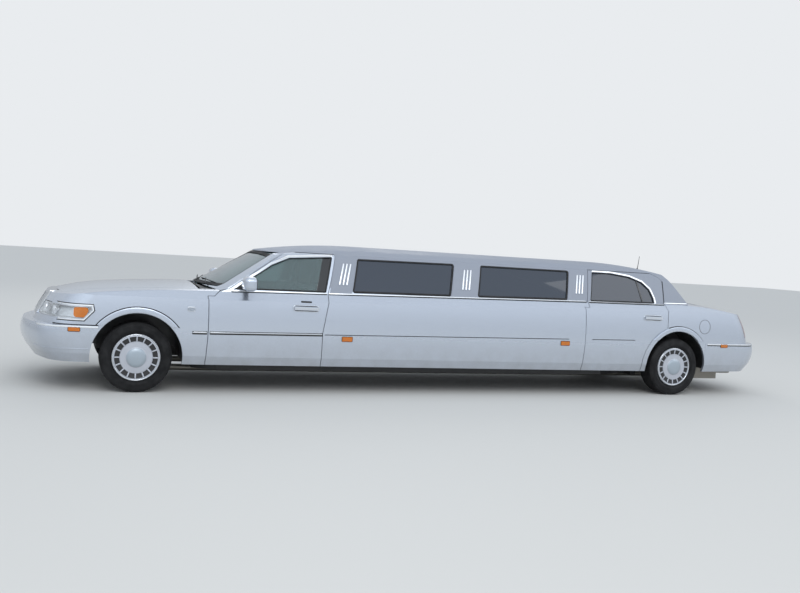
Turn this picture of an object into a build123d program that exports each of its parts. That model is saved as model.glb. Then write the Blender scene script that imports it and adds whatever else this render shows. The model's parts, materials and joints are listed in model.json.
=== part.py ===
# Stretch limousine: a four-door saloon lengthened behind its front doors, on a ladder frame.
# Millimetres. +Z is up, the nose points to -X and the left side is -Y.
# Stations along the car (x) are measured rearward from the front axle. The finished pieces are
# moved at the end, so that the origin lies on the ground at the middle of the overall size.
import os
from functools import lru_cache
from math import asin, atan, cos, degrees, hypot, radians, sin, sqrt, tan

from build123d import *

# Driving dimensions of the whole car
wheelbase = 6038.0
front_overhang = 1040.0
rear_overhang = 1435.0
half_width = 993.0  # at the side moulding
axle_height = 330.0
tyre_radius = 330.0
tyre_width = 225.0
front_track = 1610.0
rear_track = 1664.0
roof_height = 1487.0
roof_rear_r = 4400.0
aerial_top_z = 1596.0

# Body heights
sill_z = 278.0
tuck_z = 360.0  # crease above the sill
waist_z = 615.0  # side moulding and bumper tops
belt_rise = 0.0133  # the window line climbs this much per unit of length
ridge_z = 1018.0  # middle of the body's top at the front axle, before the bonnet drops
belt_drop = 50.0  # the window line lies this far below the ridge
seam_z = 1398.0  # joint between the roof and the sides

# Stations along the car
bonnet_rear_x = 556.0
front_door_x = 644.0
front_door_end_x = 1770.0
rear_door_x = 4790.0
rear_door_end_x = wheelbase - 155.0
boot_front_x = wheelbase + 452.0
flank_front_x = 760.0  # the flanks are straight in plan between these two
flank_rear_x = wheelbase - 260.0

# Walls and gaps
skin = 28.0  # wings, bonnet, boot lid and bumpers
house_wall = 42.0
door_inner = 895.0
side_inner = 889.3
gap = 6.0  # around moving panels
seam = 0.3  # between fixed pieces
shelf = 110.0  # width of the bumper tops

# Doors: axis station, |y| of the axis, radius of the leading edge about it
hinge_y = 955.0
front_hinge_x = front_door_x + 46.0
rear_hinge_x = rear_door_x + 46.0
edge_r = 60.0
hinge_heights = (450.0, 820.0)
pillar_top = 846.0

# Wheel arches
arch_r = 415.0
arch_z = 335.0

# Floor and frame
floor_z = 300.0
floor_t = 24.0
raised_z = 600.0  # floor over the rear axle
boot_floor_z = 505.0
firewall_x = 640.0
radiator_x = -680.0
frame_front_x = -900.0
frame_rear_x = wheelbase + 1290.0
floor_step_x = wheelbase - 398.0
boot_x = wheelbase + 420.0
bulkhead_x = wheelbase + 112.0
apron_y = 500.0
tub_y = 640.0
front_rail_y = 400.0  # middle of the rail, beside the engine
cabin_rail_y = 620.0
rear_rail_y = 480.0
rail_width = 80.0
shaft_z = 340.0

# Wheels, hubs and steering
rim_r = 203.0
cover_r = 220.0
rim_half = 92.0
cover_slots = 16
spindle_r = 29.7
bore_r = 30.0
kingpin_y = 705.0
column_foot = (firewall_x + 2, -390.0, 640.0)
column_head = (1120.0, -390.0, 900.0)
grip_r = 185.0


def belt_z(x):
    """Height of the window line at a station."""
    return ridge_z + belt_rise * x - belt_drop


def block(x0, x1, y0, y1, z0, z1):
    return Pos((x0 + x1) / 2, (y0 + y1) / 2, (z0 + z1) / 2) * Box(x1 - x0, y1 - y0, z1 - z0)


def side_prism(points, y0=-1300.0, y1=1300.0, radius=0.0):
    """Solid whose side view is the closed outline of (x, z) points."""
    face = make_face(Polyline(*points, close=True))
    if radius:
        face = fillet(face.vertices(), radius)
    return Pos(0, y1, 0) * extrude(Plane.XZ * face, amount=y1 - y0)


def front_prism(points, x0, x1, radius=0.0):
    """Solid whose front view is the closed outline of (y, z) points."""
    face = make_face(Polyline(*points, close=True))
    if radius:
        face = fillet(face.vertices(), radius)
    return Pos(x0, 0, 0) * extrude(Plane.YZ * face, amount=x1 - x0)


def plan_prism(points, z0, z1, radius=0.0):
    face = make_face(Polyline(*points, close=True))
    if radius:
        face = fillet(face.vertices(), radius)
    return Pos(0, 0, z0) * extrude(face, amount=z1 - z0)


def rod(x, y, z, r, length, axis="y"):
    """Cylinder centred on a point, along one axis."""
    turn = {"x": Rot(0, 90, 0), "y": Rot(90, 0, 0), "z": Rot(0, 0, 0)}[axis]
    return Pos(x, y, z) * turn * Cylinder(r, length)


def joined(shapes):
    """Union of a list of solids."""
    return shapes[0] + list(shapes[1:])


def both(piece):
    """The left piece and its mirror image as separate solids."""
    return [*piece.solids(), *mirror(piece, about=Plane.XZ).solids()]


# Plan outlines of the body, one at each height


def corner_chain(length, half, side_turn, face_turn, corner_r):
    """Radii of the side arc and the end arc that run tangent into a corner arc."""
    a, b = radians(side_turn), radians(face_turn)
    kx = length - corner_r * (cos(b) - sin(a))
    ky = half - corner_r * (cos(a) - sin(b))
    det = sin(a) * sin(b) - (1 - cos(b)) * (1 - cos(a))
    side_r = (kx * sin(b) - ky * (1 - cos(b))) / det
    face_r = (ky * sin(a) - kx * (1 - cos(a))) / det
    return side_r, face_r


def plan_face(z, half, nose, tail):
    """Closed plan outline: straight flanks, then side, corner and end arcs, all tangent."""
    side_turn, front_turn, rear_turn, corner_r = 7.0, 25.0, 22.0, 300.0
    fs, ff = corner_chain(flank_front_x - nose, half, side_turn, front_turn, corner_r)
    rs, rf = corner_chain(tail - flank_rear_x, half, side_turn, rear_turn, corner_r)
    front_arcs = ((fs, side_turn), (corner_r, 90 - side_turn - front_turn), (ff, 2 * front_turn),
                  (corner_r, 90 - side_turn - front_turn), (fs, side_turn))
    rear_arcs = ((rs, side_turn), (corner_r, 90 - side_turn - rear_turn), (rf, 2 * rear_turn),
                 (corner_r, 90 - side_turn - rear_turn), (rs, side_turn))
    edges, here, heading = [], Vector(flank_front_x, -half), 180.0
    for arcs, flank_end in ((front_arcs, (flank_rear_x, half)),
                            (rear_arcs, (flank_front_x, -half))):
        for r, turn in arcs:
            arc = JernArc(here, (cos(radians(heading)), sin(radians(heading))), r, -turn)
            edges.append(arc)
            here, heading = arc @ 1, heading - turn
        edges.append(Line(here, flank_end))
        here = Vector(*flank_end)
    return Pos(0, 0, z) * make_face(Wire(edges))


# z, half width, nose and tail of the bumpers and of the body; the tail is measured from the rear axle
bumper_sections = ((sill_z, 950.0, -925.0, 1320.0), (tuck_z, 978.0, -985.0, 1380.0),
                   (490.0, 989.0, -front_overhang, rear_overhang),
                   (waist_z, half_width, -1020.0, 1415.0))
body_sections = (*bumper_sections[:2], (490.0, 989.0, -975.0, 1385.0),
                 (waist_z, half_width, -930.0, 1330.0), (730.0, 991.0, -882.0, 1295.0),
                 (860.0, 984.0, -812.0, 1235.0), (980.0, 972.0, -745.0, 1160.0),
                 (1110.0, 955.0, -670.0, 1070.0))


def band(sections, inset):
    """Solid through plan outlines: straight up to the crease above the sill, then smooth."""
    faces = [plan_face(z, h - inset, n + inset, wheelbase + t - inset) for z, h, n, t in sections]
    return loft(faces[:2], ruled=True) + loft(faces[1:])


def section_sweep(path, points, crown, inset, fillets):
    """Closed cross-section under a crown arc, swept along a path in the middle plane."""
    w, d = crown
    top = ThreePointArc((-w, -d), (0, 0), (w, -d))
    rest = Polyline((w, -d), *points, *[(-y, z) for y, z in reversed(points)], (-w, -d))
    face = make_face(Wire([top, *rest.edges()]))
    for y, radius in fillets:
        corners = [v for v in face.vertices() if abs(abs(v.X) - y) < 0.5 and v.Y > -250]
        face = fillet(corners, radius)
    if inset:
        face = offset(face, -inset, kind=Kind.INTERSECTION)
    run = path % 0
    here = Plane(origin=path @ 0, x_dir=(0, 1 if run.X > 0 else -1, 0), z_dir=run)
    return sweep(here * face, path=path)


def body_path():
    """Middle line of the bonnet, the shoulders and the boot, front to rear."""
    rise = degrees(atan(belt_rise))
    z0 = ridge_z + belt_rise * 530
    line = Line((530, z0), (wheelbase - 78, ridge_z + belt_rise * (wheelbase - 78)))
    back = (-cos(radians(rise)), -sin(radians(rise)))
    bonnet = JernArc((530, z0), back, 9800, 5.05)
    nose = JernArc(bonnet @ 1, bonnet % 1, 2060, 25)
    deck = JernArc(line @ 1, line % 1, 5000, -19)
    return Plane.XZ * Wire([nose, bonnet, line, deck])


def roof_path():
    front = JernArc((2300, roof_height), (-1, 0), 6200, 19)
    flat = Line((2300, roof_height), (wheelbase - 738, roof_height))
    rear = JernArc(flat @ 1, (1, 0), roof_rear_r, -18)
    return Plane.XZ * Wire([front, flat, rear])


def roof_z(x):
    """Height of the roof's middle line behind its flat part."""
    return roof_height - roof_rear_r + sqrt(roof_rear_r ** 2 - (x - wheelbase + 738) ** 2)


crown_points = [(1120, -236), (1120, -1100)]


@lru_cache(maxsize=None)
def bumper_band(inset):
    """Bumpers as one solid up to the side moulding, every wall moved inward by the inset."""
    return band(bumper_sections, inset)


@lru_cache(maxsize=None)
def hull(inset):
    """Body below the windows, every face moved inward by the inset."""
    return band(body_sections, inset) & section_sweep(body_path(), crown_points, (880, 44), inset, ((880, 45),))


@lru_cache(maxsize=None)
def house(inset):
    """Greenhouse from the belt to the roof, every face moved inward by the inset."""
    i = inset
    sides = Wire([ThreePointArc((-915 + i, 900), (-795 + i, 1215), (-640 + i, 1520)),
                  Line((-640 + i, 1520), (640 - i, 1520)),
                  ThreePointArc((640 - i, 1520), (795 - i, 1215), (915 - i, 900)),
                  Line((915 - i, 900), (-915 + i, 900))])
    sides = extrude(Plane.YZ * make_face(sides), amount=wheelbase + 1000)
    crown = section_sweep(roof_path(), [(720, -98), (1050, -428), (1050, -900)], (600, 40), i,
                          ((600, 150), (720, 80)))
    ends = []
    for z in (890.0, 1530.0):
        xf = 590 + 1.743 * (z - 1010) + 2.0 * i
        xr = wheelbase + 454 - 0.986 * (z - 1010) - 1.42 * i
        sf = 1100 ** 2 / (2 * 1650)
        front = ThreePointArc((xf + sf, -1100), (xf, 0), (xf + sf, 1100))
        rear = ThreePointArc((xr - sf, 1100), (xr, 0), (xr - sf, -1100))
        wire = Wire([front, Line(front @ 1, rear @ 0), rear, Line(rear @ 1, front @ 0)])
        ends.append(Pos(0, 0, z) * make_face(wire))
    return sides & crown & loft(ends, ruled=True)


def flank_half(z):
    """Half width of the outer surface beside the cabin."""
    if z < 940:
        return half_width
    t = (z - 900) / 620
    return 912.0 if z < 1060 else 915 - 205 * t - 70 * t * t


# Door outlines in side view. The rear edge runs from the sill to the roof joint.
front_door_rear = [(front_door_end_x, sill_z), (front_door_end_x - 4, waist_z),
                   (front_door_end_x + 30, 830), (front_door_end_x + 57, 985),
                   (front_door_end_x + 158, seam_z)]
front_door_front = [(front_hinge_x, 0), (front_hinge_x, 938), (740, 984), (835, 1014),
                    (1115, 1203), (1265, 1300), (1420, 1387), (1520, seam_z + 20)]
dogleg_r = 478.0
rear_door_rear = [(wheelbase - dogleg_r * cos(radians(a)), axle_height + dogleg_r * sin(radians(a)))
                  for a in (-6, 10, 25, 40, 55, 70.5)]
rear_door_rear[0] = (rear_door_rear[0][0], sill_z)
rear_door_rear += [(rear_door_end_x, 1000), (rear_door_end_x + 4, 1062), (rear_door_end_x + 36, 1300),
                   (rear_door_end_x + 20, 1350), (rear_door_end_x - 45, seam_z)]
rear_door_front = [(rear_hinge_x, 0), (rear_hinge_x, 985), (rear_hinge_x + 5, 997),
                   (rear_hinge_x + 88, seam_z + 20)]


def door_cut(axis_x, front, rear, clear):
    """Opening of a left door, swept round its hinge axis so that the door swings free."""
    radii = [(hypot(x - axis_x, hinge_y - flank_half(z)) - clear, z) for x, z in rear]
    low, high = sill_z + (clear - gap) * 0.7, seam_z - clear
    profile = [(0, low), (radii[0][0], low), *radii[1:-1], (radii[-1][0], high), (0, high)]
    swept = revolve(Plane.XZ * make_face(Polyline(*profile, close=True)), Axis.Z, 360)
    swept = Pos(axis_x, -hinge_y, 0) * swept
    edge = [(x + clear, z - 0.6 * clear if z > 940 else z) for x, z in front]
    ahead = side_prism([*edge, (edge[-1][0] + 2500, edge[-1][1]), (edge[-1][0] + 2500, 0)])
    top = front[1][1] - 0.6 * clear
    nose = Pos(axis_x, -hinge_y, (low + top) / 2) * Cylinder(edge_r + gap - clear, top - low)
    return (swept & ahead & block(0, 9000, -1300, -600 - clear, 0, 2000)) + nose


def window(points, radius, shrink=0.0):
    """Window opening of the left side, or its glass where shrink is set."""
    face = fillet(make_face(Polyline(*points, close=True)).vertices(), radius)
    if shrink:
        face = offset(face, -shrink)
    return Pos(0, -300, 0) * extrude(Plane.XZ * face, amount=900)


front_window = [(885, 1006), (1078, 1139), (1262, 1258), (1450, 1337), (1893, 1370), (1806, 1010)]
rear_window_side = [(4892, 1046), (4972, 1372), (5215, 1372), (5465, 1343), (5625, 1290),
                    (5716, 1212), (5752, 1112), (5757, 1052)]
stretch_windows = [[(2082, 1018), (2160, 1366), (3256, 1374), (3178, 1028)],
                   [(3488, 1032), (3566, 1374), (4672, 1374), (4596, 1046)]]

# Bonnet and boot lid: hinge axes and plan outlines
bonnet_axis = (bonnet_rear_x - 16, ridge_z + belt_rise * bonnet_rear_x - 50)
boot_axis = (boot_front_x + 15, 1076 - 50)
lid_hinge_y = 300.0
bonnet_plan = [(-1200, 500), (-760, 560), (-300, 680), (bonnet_rear_x, 772)]
boot_plan = [(boot_front_x, 705), (wheelbase + 960, 690), (wheelbase + 1060, 610),
             (wheelbase + 1600, 610)]
bonnet_edge_z = 800.0
front_bumper_x = -330.0
rear_bumper_x = wheelbase + 402.0
grille_bars = 18
grille_pitch = 34.0
boot_edge_z = 650.0
deck_half = 696.0  # joint between the rear deck and the quarter panels
bonnet_clear_r = 56.0  # free space about the hinge axes
boot_clear_r = 62.0

# Orange lamps on the flanks: station, height, length, height of the lens
side_marks = ((-558, 580, 100, 34), (474, 806, 62, 32), (2020, 560, 106, 44), (4530, 578, 106, 44),
              (wheelbase + 689, 590, 104, 34))


def mirrored_plan(points, z0, z1, grow=0.0):
    """Prism over the plan outline given by its right half, grown sideways and along x."""
    pts = [(x + (grow if i == len(points) - 1 else -grow), y + grow)
           for i, (x, y) in enumerate(points)]
    return plan_prism([*pts, *[(x, -y) for x, y in reversed(pts)]], z0, z1)


def grille_prism(grow):
    return front_prism([(-322 - grow, 668 - grow), (322 + grow, 668 - grow),
                        (338 + grow, 892 + grow), (-338 - grow, 892 + grow)], -1300, -600, 12)


def lamp_prism(grow):
    """Headlamps in side view."""
    return side_prism([(-1200, 676 - grow), (-480 + grow, 676 - grow), (-404 + grow, 760),
                       (-412 + grow, bonnet_edge_z - gap), (-1200, bonnet_edge_z - gap)])


lamp_half = 352.0


def tail_prism(grow):
    return side_prism([(wheelbase + 928 - grow, 965), (wheelbase + 1052 - grow, 690),
                       (wheelbase + 1700, 690), (wheelbase + 1700, 965)])


def arch(x, r):
    return rod(x, 0, arch_z, r, 2600)


def tapered(points_top, points_bottom):
    """Side-view prism between an upper and a lower line."""
    return side_prism([*points_top, *reversed(points_bottom)])


def rail():
    """Right rail of the frame: a ribbon in plan crossed with a ribbon in side view."""
    mid = [(frame_front_x, front_rail_y), (400, front_rail_y), (790, cabin_rail_y),
           (wheelbase - 808, cabin_rail_y), (wheelbase - 470, rear_rail_y),
           (frame_rear_x, rear_rail_y)]
    w = rail_width / 2
    plan = plan_prism([*[(x, y + w) for x, y in mid], *[(x, y - w) for x, y in reversed(mid)]],
                      100, 800)
    top = [(frame_front_x, 500), (400, 500), (firewall_x - 30, floor_z - seam),
           (floor_step_x + 5, floor_z - seam), (wheelbase - 248, raised_z - seam),
           (boot_x - 60, raised_z - seam), (boot_x - 20, boot_floor_z - seam),
           (frame_rear_x, boot_floor_z - seam)]
    low = [(frame_front_x, 400), (380, 400), (560, 190), (floor_step_x + 40, 190), (wheelbase - 190, 490),
           (boot_x - 110, 490), (boot_x - 50, 405), (frame_rear_x, 405)]
    return plan & tapered(top, low)


def hinge_eye(x, z, side):
    """Strap with an eye round the door's pin, reaching in to its pillar."""
    y = side * hinge_y
    ys = sorted((y, side * (side_inner - 20)))
    eye = rod(x, y, z, 18, 48, "z") + block(x - 8, x + 8, *ys, z - 24, z + 24)
    return eye - rod(x, y, z, 8.3, 60, "z")


def lid_hinge(axis, towards):
    """Lug of a lid and its fixed bracket with the pin, for both sides of the car."""
    x, z = axis
    lug, bracket = [], []
    for y in (-lid_hinge_y, lid_hinge_y):
        inner = y - 18 if y > 0 else y + 18
        lug.append(rod(x, y, z, 14, 16) + block(x - 14, x + 14, y - 8, y + 8, z, z + 22))
        ys = (inner - 4, inner + 4)
        arm = block(x - 10, x + 10, *ys, z - 45, z + 8) + rod(x, (y + inner) / 2, z, 6, 44)
        xs = sorted((x, towards))
        bracket.append(arm + block(*xs, *ys, z - 45, z - 18))
    holes = rod(x, 0, z, 6.3, 2 * lid_hinge_y + 40)
    return [s - holes for s in lug], bracket


def wheel():
    """Steel wheel with hub, brake disc and slotted cover; the left one, outboard side to -Y."""
    f = rim_half
    rim = [(rim_r - 17, f), (rim_r, f), (rim_r, -f), (cover_r, -f), (cover_r, -f - 9),
           (cover_r - 22, -f - 13), (151, -f - 5), (148, -f - 13), (96, -f - 15), (80, -f - 24),
           (0, -f - 29), (0, -72), (bore_r, -72), (bore_r, 46), (58, 46), (58, 40), (150, 40),
           (150, 20), (60, 20), (60, -58), (rim_r - 17, -70)]
    solid = revolve(make_face(Polyline(*rim, close=True)), Axis.Y, 360)
    slot = Pos(174, -f - 5, 0) * Box(40, 60, 44)
    return solid - [Rot(0, 360 * i / cover_slots, 0) * slot for i in range(cover_slots)]


def tyre():
    r0, r1, w = rim_r + seam, tyre_radius, tyre_width / 2
    half = [(r0, rim_half - 4), (cover_r + 4, rim_half - 1), (cover_r + 30, w - 5), (r1 - 62, w),
            (r1 - 22, w - 5), (r1 - 5, w - 17), (r1, w - 34)]
    points = [*half, *[(r, -y) for r, y in reversed(half)]]
    return revolve(make_face(Polyline(*points, close=True)), Axis.Y, 360)


def knuckle():
    """Left knuckle about its kingpin, in the working frame."""
    y, centre = -kingpin_y, -front_track / 2
    body = block(-35, 35, y - 15, y + 15, axle_height - 105, axle_height + 110)
    body = body + rod(0, y, axle_height - 118, 12, 30, "z") + rod(0, y, axle_height + 130, 12, 44, "z")
    body = body + rod(0, (y - 15 + centre - 66) / 2, axle_height, spindle_r, y - 15 - centre + 66)
    body = body + rod(0, y - 22, axle_height, 50, 20)
    body = body + block(30, 165, y - 15, y + 5, axle_height - 40, axle_height + 40)
    return body + block(95, 165, centre + 45, y, axle_height - 40, axle_height + 40)


def build():
    """All nodes by name, in the working frame."""
    parts = {}
    outer, inner = hull(0), hull(skin)
    house_out, house_in = house(0), house(house_wall)
    panel = outer - inner
    front_zone = block(-1300, front_bumper_x, -1300, 1300, 0, waist_z)
    rear_zone = block(rear_bumper_x - seam, 7600, -1300, 1300, 0, waist_z)

    # Openings of the doors, at the body and at the door itself
    doors = {"front": (front_hinge_x, front_door_front, front_door_rear),
             "rear": (rear_hinge_x, rear_door_front, rear_door_rear)}
    cuts = {k: door_cut(*v, 0) for k, v in doors.items()}
    shapes = {k: door_cut(*v, gap) for k, v in doors.items()}
    all_cuts = [c for k in cuts for c in (cuts[k], mirror(cuts[k], about=Plane.XZ))]

    # Roof with the windscreen and rear pillars
    shell = house_out - house_in - hull(-seam)
    keep = (block(0, 1530, -990, 990, 800, 1600) + block(wheelbase - 500, 7000, -990, 990, 800, 1600)
            + block(0, 7000, -990, 990, seam_z + seam, 1600) + block(0, 7000, -560, 560, 1300, 1600))
    screen_gap = front_prism([(-742, 1018), (742, 1018), (560, 1384), (-560, 1384)], 300, 1420, 30)
    rear_gap = front_prism([(-722, 1096), (722, 1096), (545, 1392), (-545, 1392)],
                           wheelbase - 20, wheelbase + 700, 40)
    parts["roof"] = (shell & keep) - [screen_gap, rear_gap, *all_cuts]
    glass = house(12) - house(17)
    parts["windscreen"] = glass & front_prism([(-741.6, 1018.4), (741.6, 1018.4), (559.7, 1383.6),
                                               (-559.7, 1383.6)], 300, 1420, 30)
    parts["rear_window"] = glass & front_prism([(-721.6, 1096.4), (721.6, 1096.4), (544.7, 1391.6),
                                                (-544.7, 1391.6)], wheelbase - 20, wheelbase + 700, 40)

    # Doors and the long side panels share one thick wall
    def wall(half):
        cabin = front_prism([(-half, 0), (half, 0), (half, 850), (853, 962), (-853, 962),
                             (-half, 850)], 0, 6600)
        return left - [cabin, house_in]
    left = (outer + house_out) & block(0, 6600, -1200, 0, 0, 1600)
    door_wall, side_wall = wall(door_inner), wall(side_inner)
    side = side_wall & block(1600, 5200, -1200, -575, 0, seam_z)
    side = side - [*cuts.values(), *[window(w, 25) for w in stretch_windows]]
    for name, pane in (("front", front_window), ("rear", rear_window_side)):
        x = doors[name][0]
        pockets = [rod(x, -hinge_y, z, 24, 64, "z") for z in hinge_heights]
        pockets += [block(x - 80, x + 16, -hinge_y - 14, -door_inner + 15, z - 32, z + 32)
                    for z in hinge_heights]
        pillar_foot = block(600, 900, -800, 0, 900, 1100)
        door = (door_wall & shapes[name]) - [window(pane, 14), *pockets, pillar_foot]
        door = door + [rod(x, -hinge_y, z, 8, 70, "z") for z in hinge_heights]
        glass_pane = glass & window(pane, 14, seam)
        parts[f"door_{name}_left"] = door
        parts[f"door_{name}_right"] = mirror(door, about=Plane.XZ)
        parts[f"door_glass_{name}_left"] = glass_pane
        parts[f"door_glass_{name}_right"] = mirror(glass_pane, about=Plane.XZ)
    parts["side_glass"] = [g for w in stretch_windows for g in both(glass & window(w, 25, seam))]

    # Skin panels
    bonnet_zone = mirrored_plan(bonnet_plan, bonnet_edge_z, 1300)
    bonnet_open = mirrored_plan(bonnet_plan, bonnet_edge_z - gap, 1300, gap)
    boot_zone = mirrored_plan(boot_plan, boot_edge_z, 1300)
    boot_open = mirrored_plan(boot_plan, boot_edge_z - gap, 1300, gap)
    parts["hood"] = (panel & bonnet_zone) - grille_prism(gap)
    parts["trunk_lid"] = panel & boot_zone
    front = panel & block(-1200, 860, -1000, 0, 0, 1300)
    front = front - [bonnet_open, front_zone, grille_prism(seam), arch(0, arch_r), lamp_prism(seam)]
    lamps = outer & block(-1200, 0, -1200, -lamp_half, 600, 900) & lamp_prism(0)
    parts["headlamps"] = both(lamps - hull(60))
    cowl_zone = plan_prism([(bonnet_rear_x, -774), (1000, -774), (1000, 774), (bonnet_rear_x, 774)],
                           900, 1300)
    split = block(-1300, -200, -600, 600, 0, 780)
    fender = front - [split, cowl_zone, cuts["front"]]
    parts["front_fenders"] = both(fender & block(-1300, 1000, -1300, -300, 0, 1300))
    nose = (front & block(-1300, -400, -600 + seam, 0, 0, 676))
    parts["nose_panel"] = nose + mirror(nose, about=Plane.XZ)

    # Panels behind the doors and over the rear wheels
    tail = (panel & block(5200, 7600, -1000, 0, 0, 1300)) - [boot_open, rear_zone]
    grown = door_cut(*doors["rear"], -40) & block(rear_door_x + 500, 6400, -1200, 0, 0, 1030)
    jamb = (side_wall & grown) - arch(wheelbase, arch_r + floor_t + seam)
    deck_zone = block(5000, boot_front_x + 60, -deck_half, deck_half, 900, 1300)
    below_lid = block(wheelbase + 900, wheelbase + 1600, -610, 610, 0, boot_edge_z + 100)
    boot_swing = rod(boot_axis[0], 0, boot_axis[1], boot_clear_r, 2 * (boot_plan[0][1] + gap))
    quarter = tail - [arch(wheelbase, arch_r), tail_prism(seam), deck_zone, below_lid]
    quarter = quarter - boot_swing
    parts["quarter_panels"] = both((quarter + jamb) - cuts["rear"])
    half_deck = tail & block(wheelbase + 60, boot_front_x + 60, -deck_half + seam, 0, 900, 1300)
    half_deck = half_deck - boot_swing
    parts["rear_deck"] = half_deck + mirror(half_deck, about=Plane.XZ)
    strip = tail & block(wheelbase + 900, wheelbase + 1600, -610 + seam, 0, 0, boot_edge_z - gap)
    parts["tail_panel"] = strip + mirror(strip, about=Plane.XZ)
    lamps = outer & block(6900, 7600, -1000, -610 - gap, 600, 1100) & tail_prism(0)
    parts["tail_lamps"] = both(lamps - hull(60) - boot_open)

    # Bumpers: a skin closed by its own top shelf
    hollow = bumper_band(skin) & block(-2000, 9000, -1200, 1200, 0, waist_z - skin)
    bumper = bumper_band(0) - hollow - bumper_band(shelf)
    for end, x0, x1, wheel_x in (("front", -1200, front_bumper_x, 0),
                                 ("rear", rear_bumper_x, 7600, wheelbase)):
        piece = bumper & block(x0, x1, -1200, 1200, 0, waist_z - seam)
        well = arch(wheel_x, arch_r + floor_t + seam) & hull(skin)
        parts[f"{end}_bumper"] = piece - arch(wheel_x, arch_r) - well

    # Grille: chrome frame with upright bars
    surround = grille_prism(0)
    places = [(i - grille_bars / 2) * grille_pitch for i in range(grille_bars + 1)]
    bars = (surround & hull(-12)) - [inner, *[block(-1300, -600, y - 9, y + 9, 694, 862)
                                              for y in places]]
    parts["grille"] = bars + ((grille_prism(-8) & hull(12)) - inner)

    # Cowl below the windscreen
    cowl = hull(12) & block(bonnet_rear_x + 4, 1000, -774 + seam, 774 - seam, 900, 1300)
    cowl = cowl - inner - house(-seam)
    parts["cowl"] = cowl - rod(bonnet_axis[0], 0, bonnet_axis[1], bonnet_clear_r, 1700)

    # Lid hinges
    lugs, brackets = lid_hinge(bonnet_axis, firewall_x - 20)
    parts["hood"] = joined([parts["hood"], *lugs])
    bonnet_brackets = brackets
    lugs, brackets = lid_hinge(boot_axis, boot_axis[0] - 70)
    parts["trunk_lid"] = joined([parts["trunk_lid"], *lugs])
    x, z = boot_axis
    hangers = [block(x - 70, x - 58, s * (lid_hinge_y - 18) - 4, s * (lid_hinge_y - 18) + 4,
                     z - 45, z + 25) for s in (-1, 1)]
    parts["rear_deck"] = joined([parts["rear_deck"], *brackets, *hangers])

    # Frame
    under = hull(skin + seam)
    within = hull(skin + 2)  # the wheel wells stop just short of the skin
    members = [block(x - 35, x + 35, -half, half, z0, z1) for x, half, z0, z1 in (
        (-820, 430, 410, 490), (-640, 430, 410, 490), (720, 600, 195, 245), (1150, 640, 195, 290),
        (1900, 640, 195, 290), (2700, 640, 195, 290), (3500, 640, 195, 290), (4300, 640, 195, 290),
        (5100, 640, 195, 290), (wheelbase - 358, 650, 195, 290), (wheelbase + 330, 500, 492, 590),
        (wheelbase + 800, 500, 410, 495), (wheelbase + 1230, 500, 410, 495))]
    beams = [block(*xs, -620, 620, 410, 500) & bumper_band(skin + seam)
             for xs in ((-1200, frame_front_x + 10), (frame_rear_x - 10, wheelbase + 1600))]
    left = rail()
    frame = joined([left, *members, mirror(left, about=Plane.XZ), *beams])
    parts["chassis_frame"] = frame

    # Floor
    t, edge = floor_t, side_inner - seam
    pan = [block(firewall_x, floor_step_x, -edge, edge, floor_z, floor_z + t),
           block(floor_step_x - t, floor_step_x, -edge, edge, floor_z, raised_z + t),
           block(floor_step_x - t, boot_x + t, -tub_y, tub_y, raised_z, raised_z + t),
           block(boot_x, boot_x + t, -tub_y, tub_y, boot_floor_z, raised_z + t),
           block(bulkhead_x, bulkhead_x + t, -tub_y, tub_y, raised_z, 1200) & under,
           block(firewall_x, 1100, -160 - t, 160 + t, floor_z, 530 + t),
           block(1100 - t, floor_step_x, -70 - t, 70 + t, floor_z, 396 + t)]
    ring = rod(wheelbase, 0, arch_z, arch_r + t, 2000) - arch(wheelbase, arch_r)
    disc = rod(wheelbase, 0, arch_z, arch_r + t, 2000)
    for s in (-1, 1):
        pan.append(block(firewall_x + 62, floor_step_x, *sorted((s * edge, s * (edge - 80))),
                         floor_z, floor_z + 90))
        pan.append(ring & block(0, 9000, *sorted((s * tub_y, s * 990)), arch_z - 20, 1000) & within)
        pan.append(disc & block(0, 9000, *sorted((s * (tub_y - t), s * tub_y)), 500, 1000))
    floor = joined(pan)
    wells = [arch(wheelbase, arch_r) & block(0, 9000, *sorted((s * tub_y, s * 1100)), 0, 900)
             for s in (-1, 1)]
    parts["floor_pan"] = floor - [*wells, block(firewall_x - 60, 1100 - t, -160, 160, 200, 530),
                                  block(1000, floor_step_x + 10, -70, 70, 200, 396)]
    parts["boot_floor"] = block(boot_x + t + seam, frame_rear_x, -tub_y, tub_y, boot_floor_z,
                                boot_floor_z + t)

    # Front structure
    bay = [block(firewall_x - t, firewall_x - seam, -edge, edge, floor_z, 1100) & under,
           block(radiator_x - 30, radiator_x, -apron_y, apron_y, 500 + seam, 760)]
    ring = rod(0, 0, arch_z, arch_r + t, 2000) - arch(0, arch_r)
    for s in (-1, 1):
        bay.append(ring & block(-600, 600, *sorted((s * apron_y, s * 990)), arch_z - 20, 1000) & within)
        wall = side_prism([(radiator_x - 30, 500 + seam), (radiator_x - 30, 760), (-300, 850),
                           (firewall_x - 10, 880), (firewall_x - 10, 500 + seam)],
                          *sorted((s * (apron_y - t), s * apron_y)))
        foot = block(radiator_x - 30, 380, *sorted((s * 380, s * apron_y)), 500 + seam, 512)
        ys = sorted((s * 800, s * edge))
        pillar = block(firewall_x - t, firewall_x + 62 - seam, *ys, floor_z + t + seam, pillar_top)
        bay += [wall, foot, pillar, block(firewall_x - t, firewall_x + 40, *ys, 800, 1100) & under]
        bay += [hinge_eye(front_hinge_x, z, s) for z in hinge_heights]
    bay = joined([*bay, *bonnet_brackets])
    bay = bay - block(firewall_x - 60, firewall_x + 10, -160, 160, 200, 530)
    parts["engine_bay"] = bay

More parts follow.
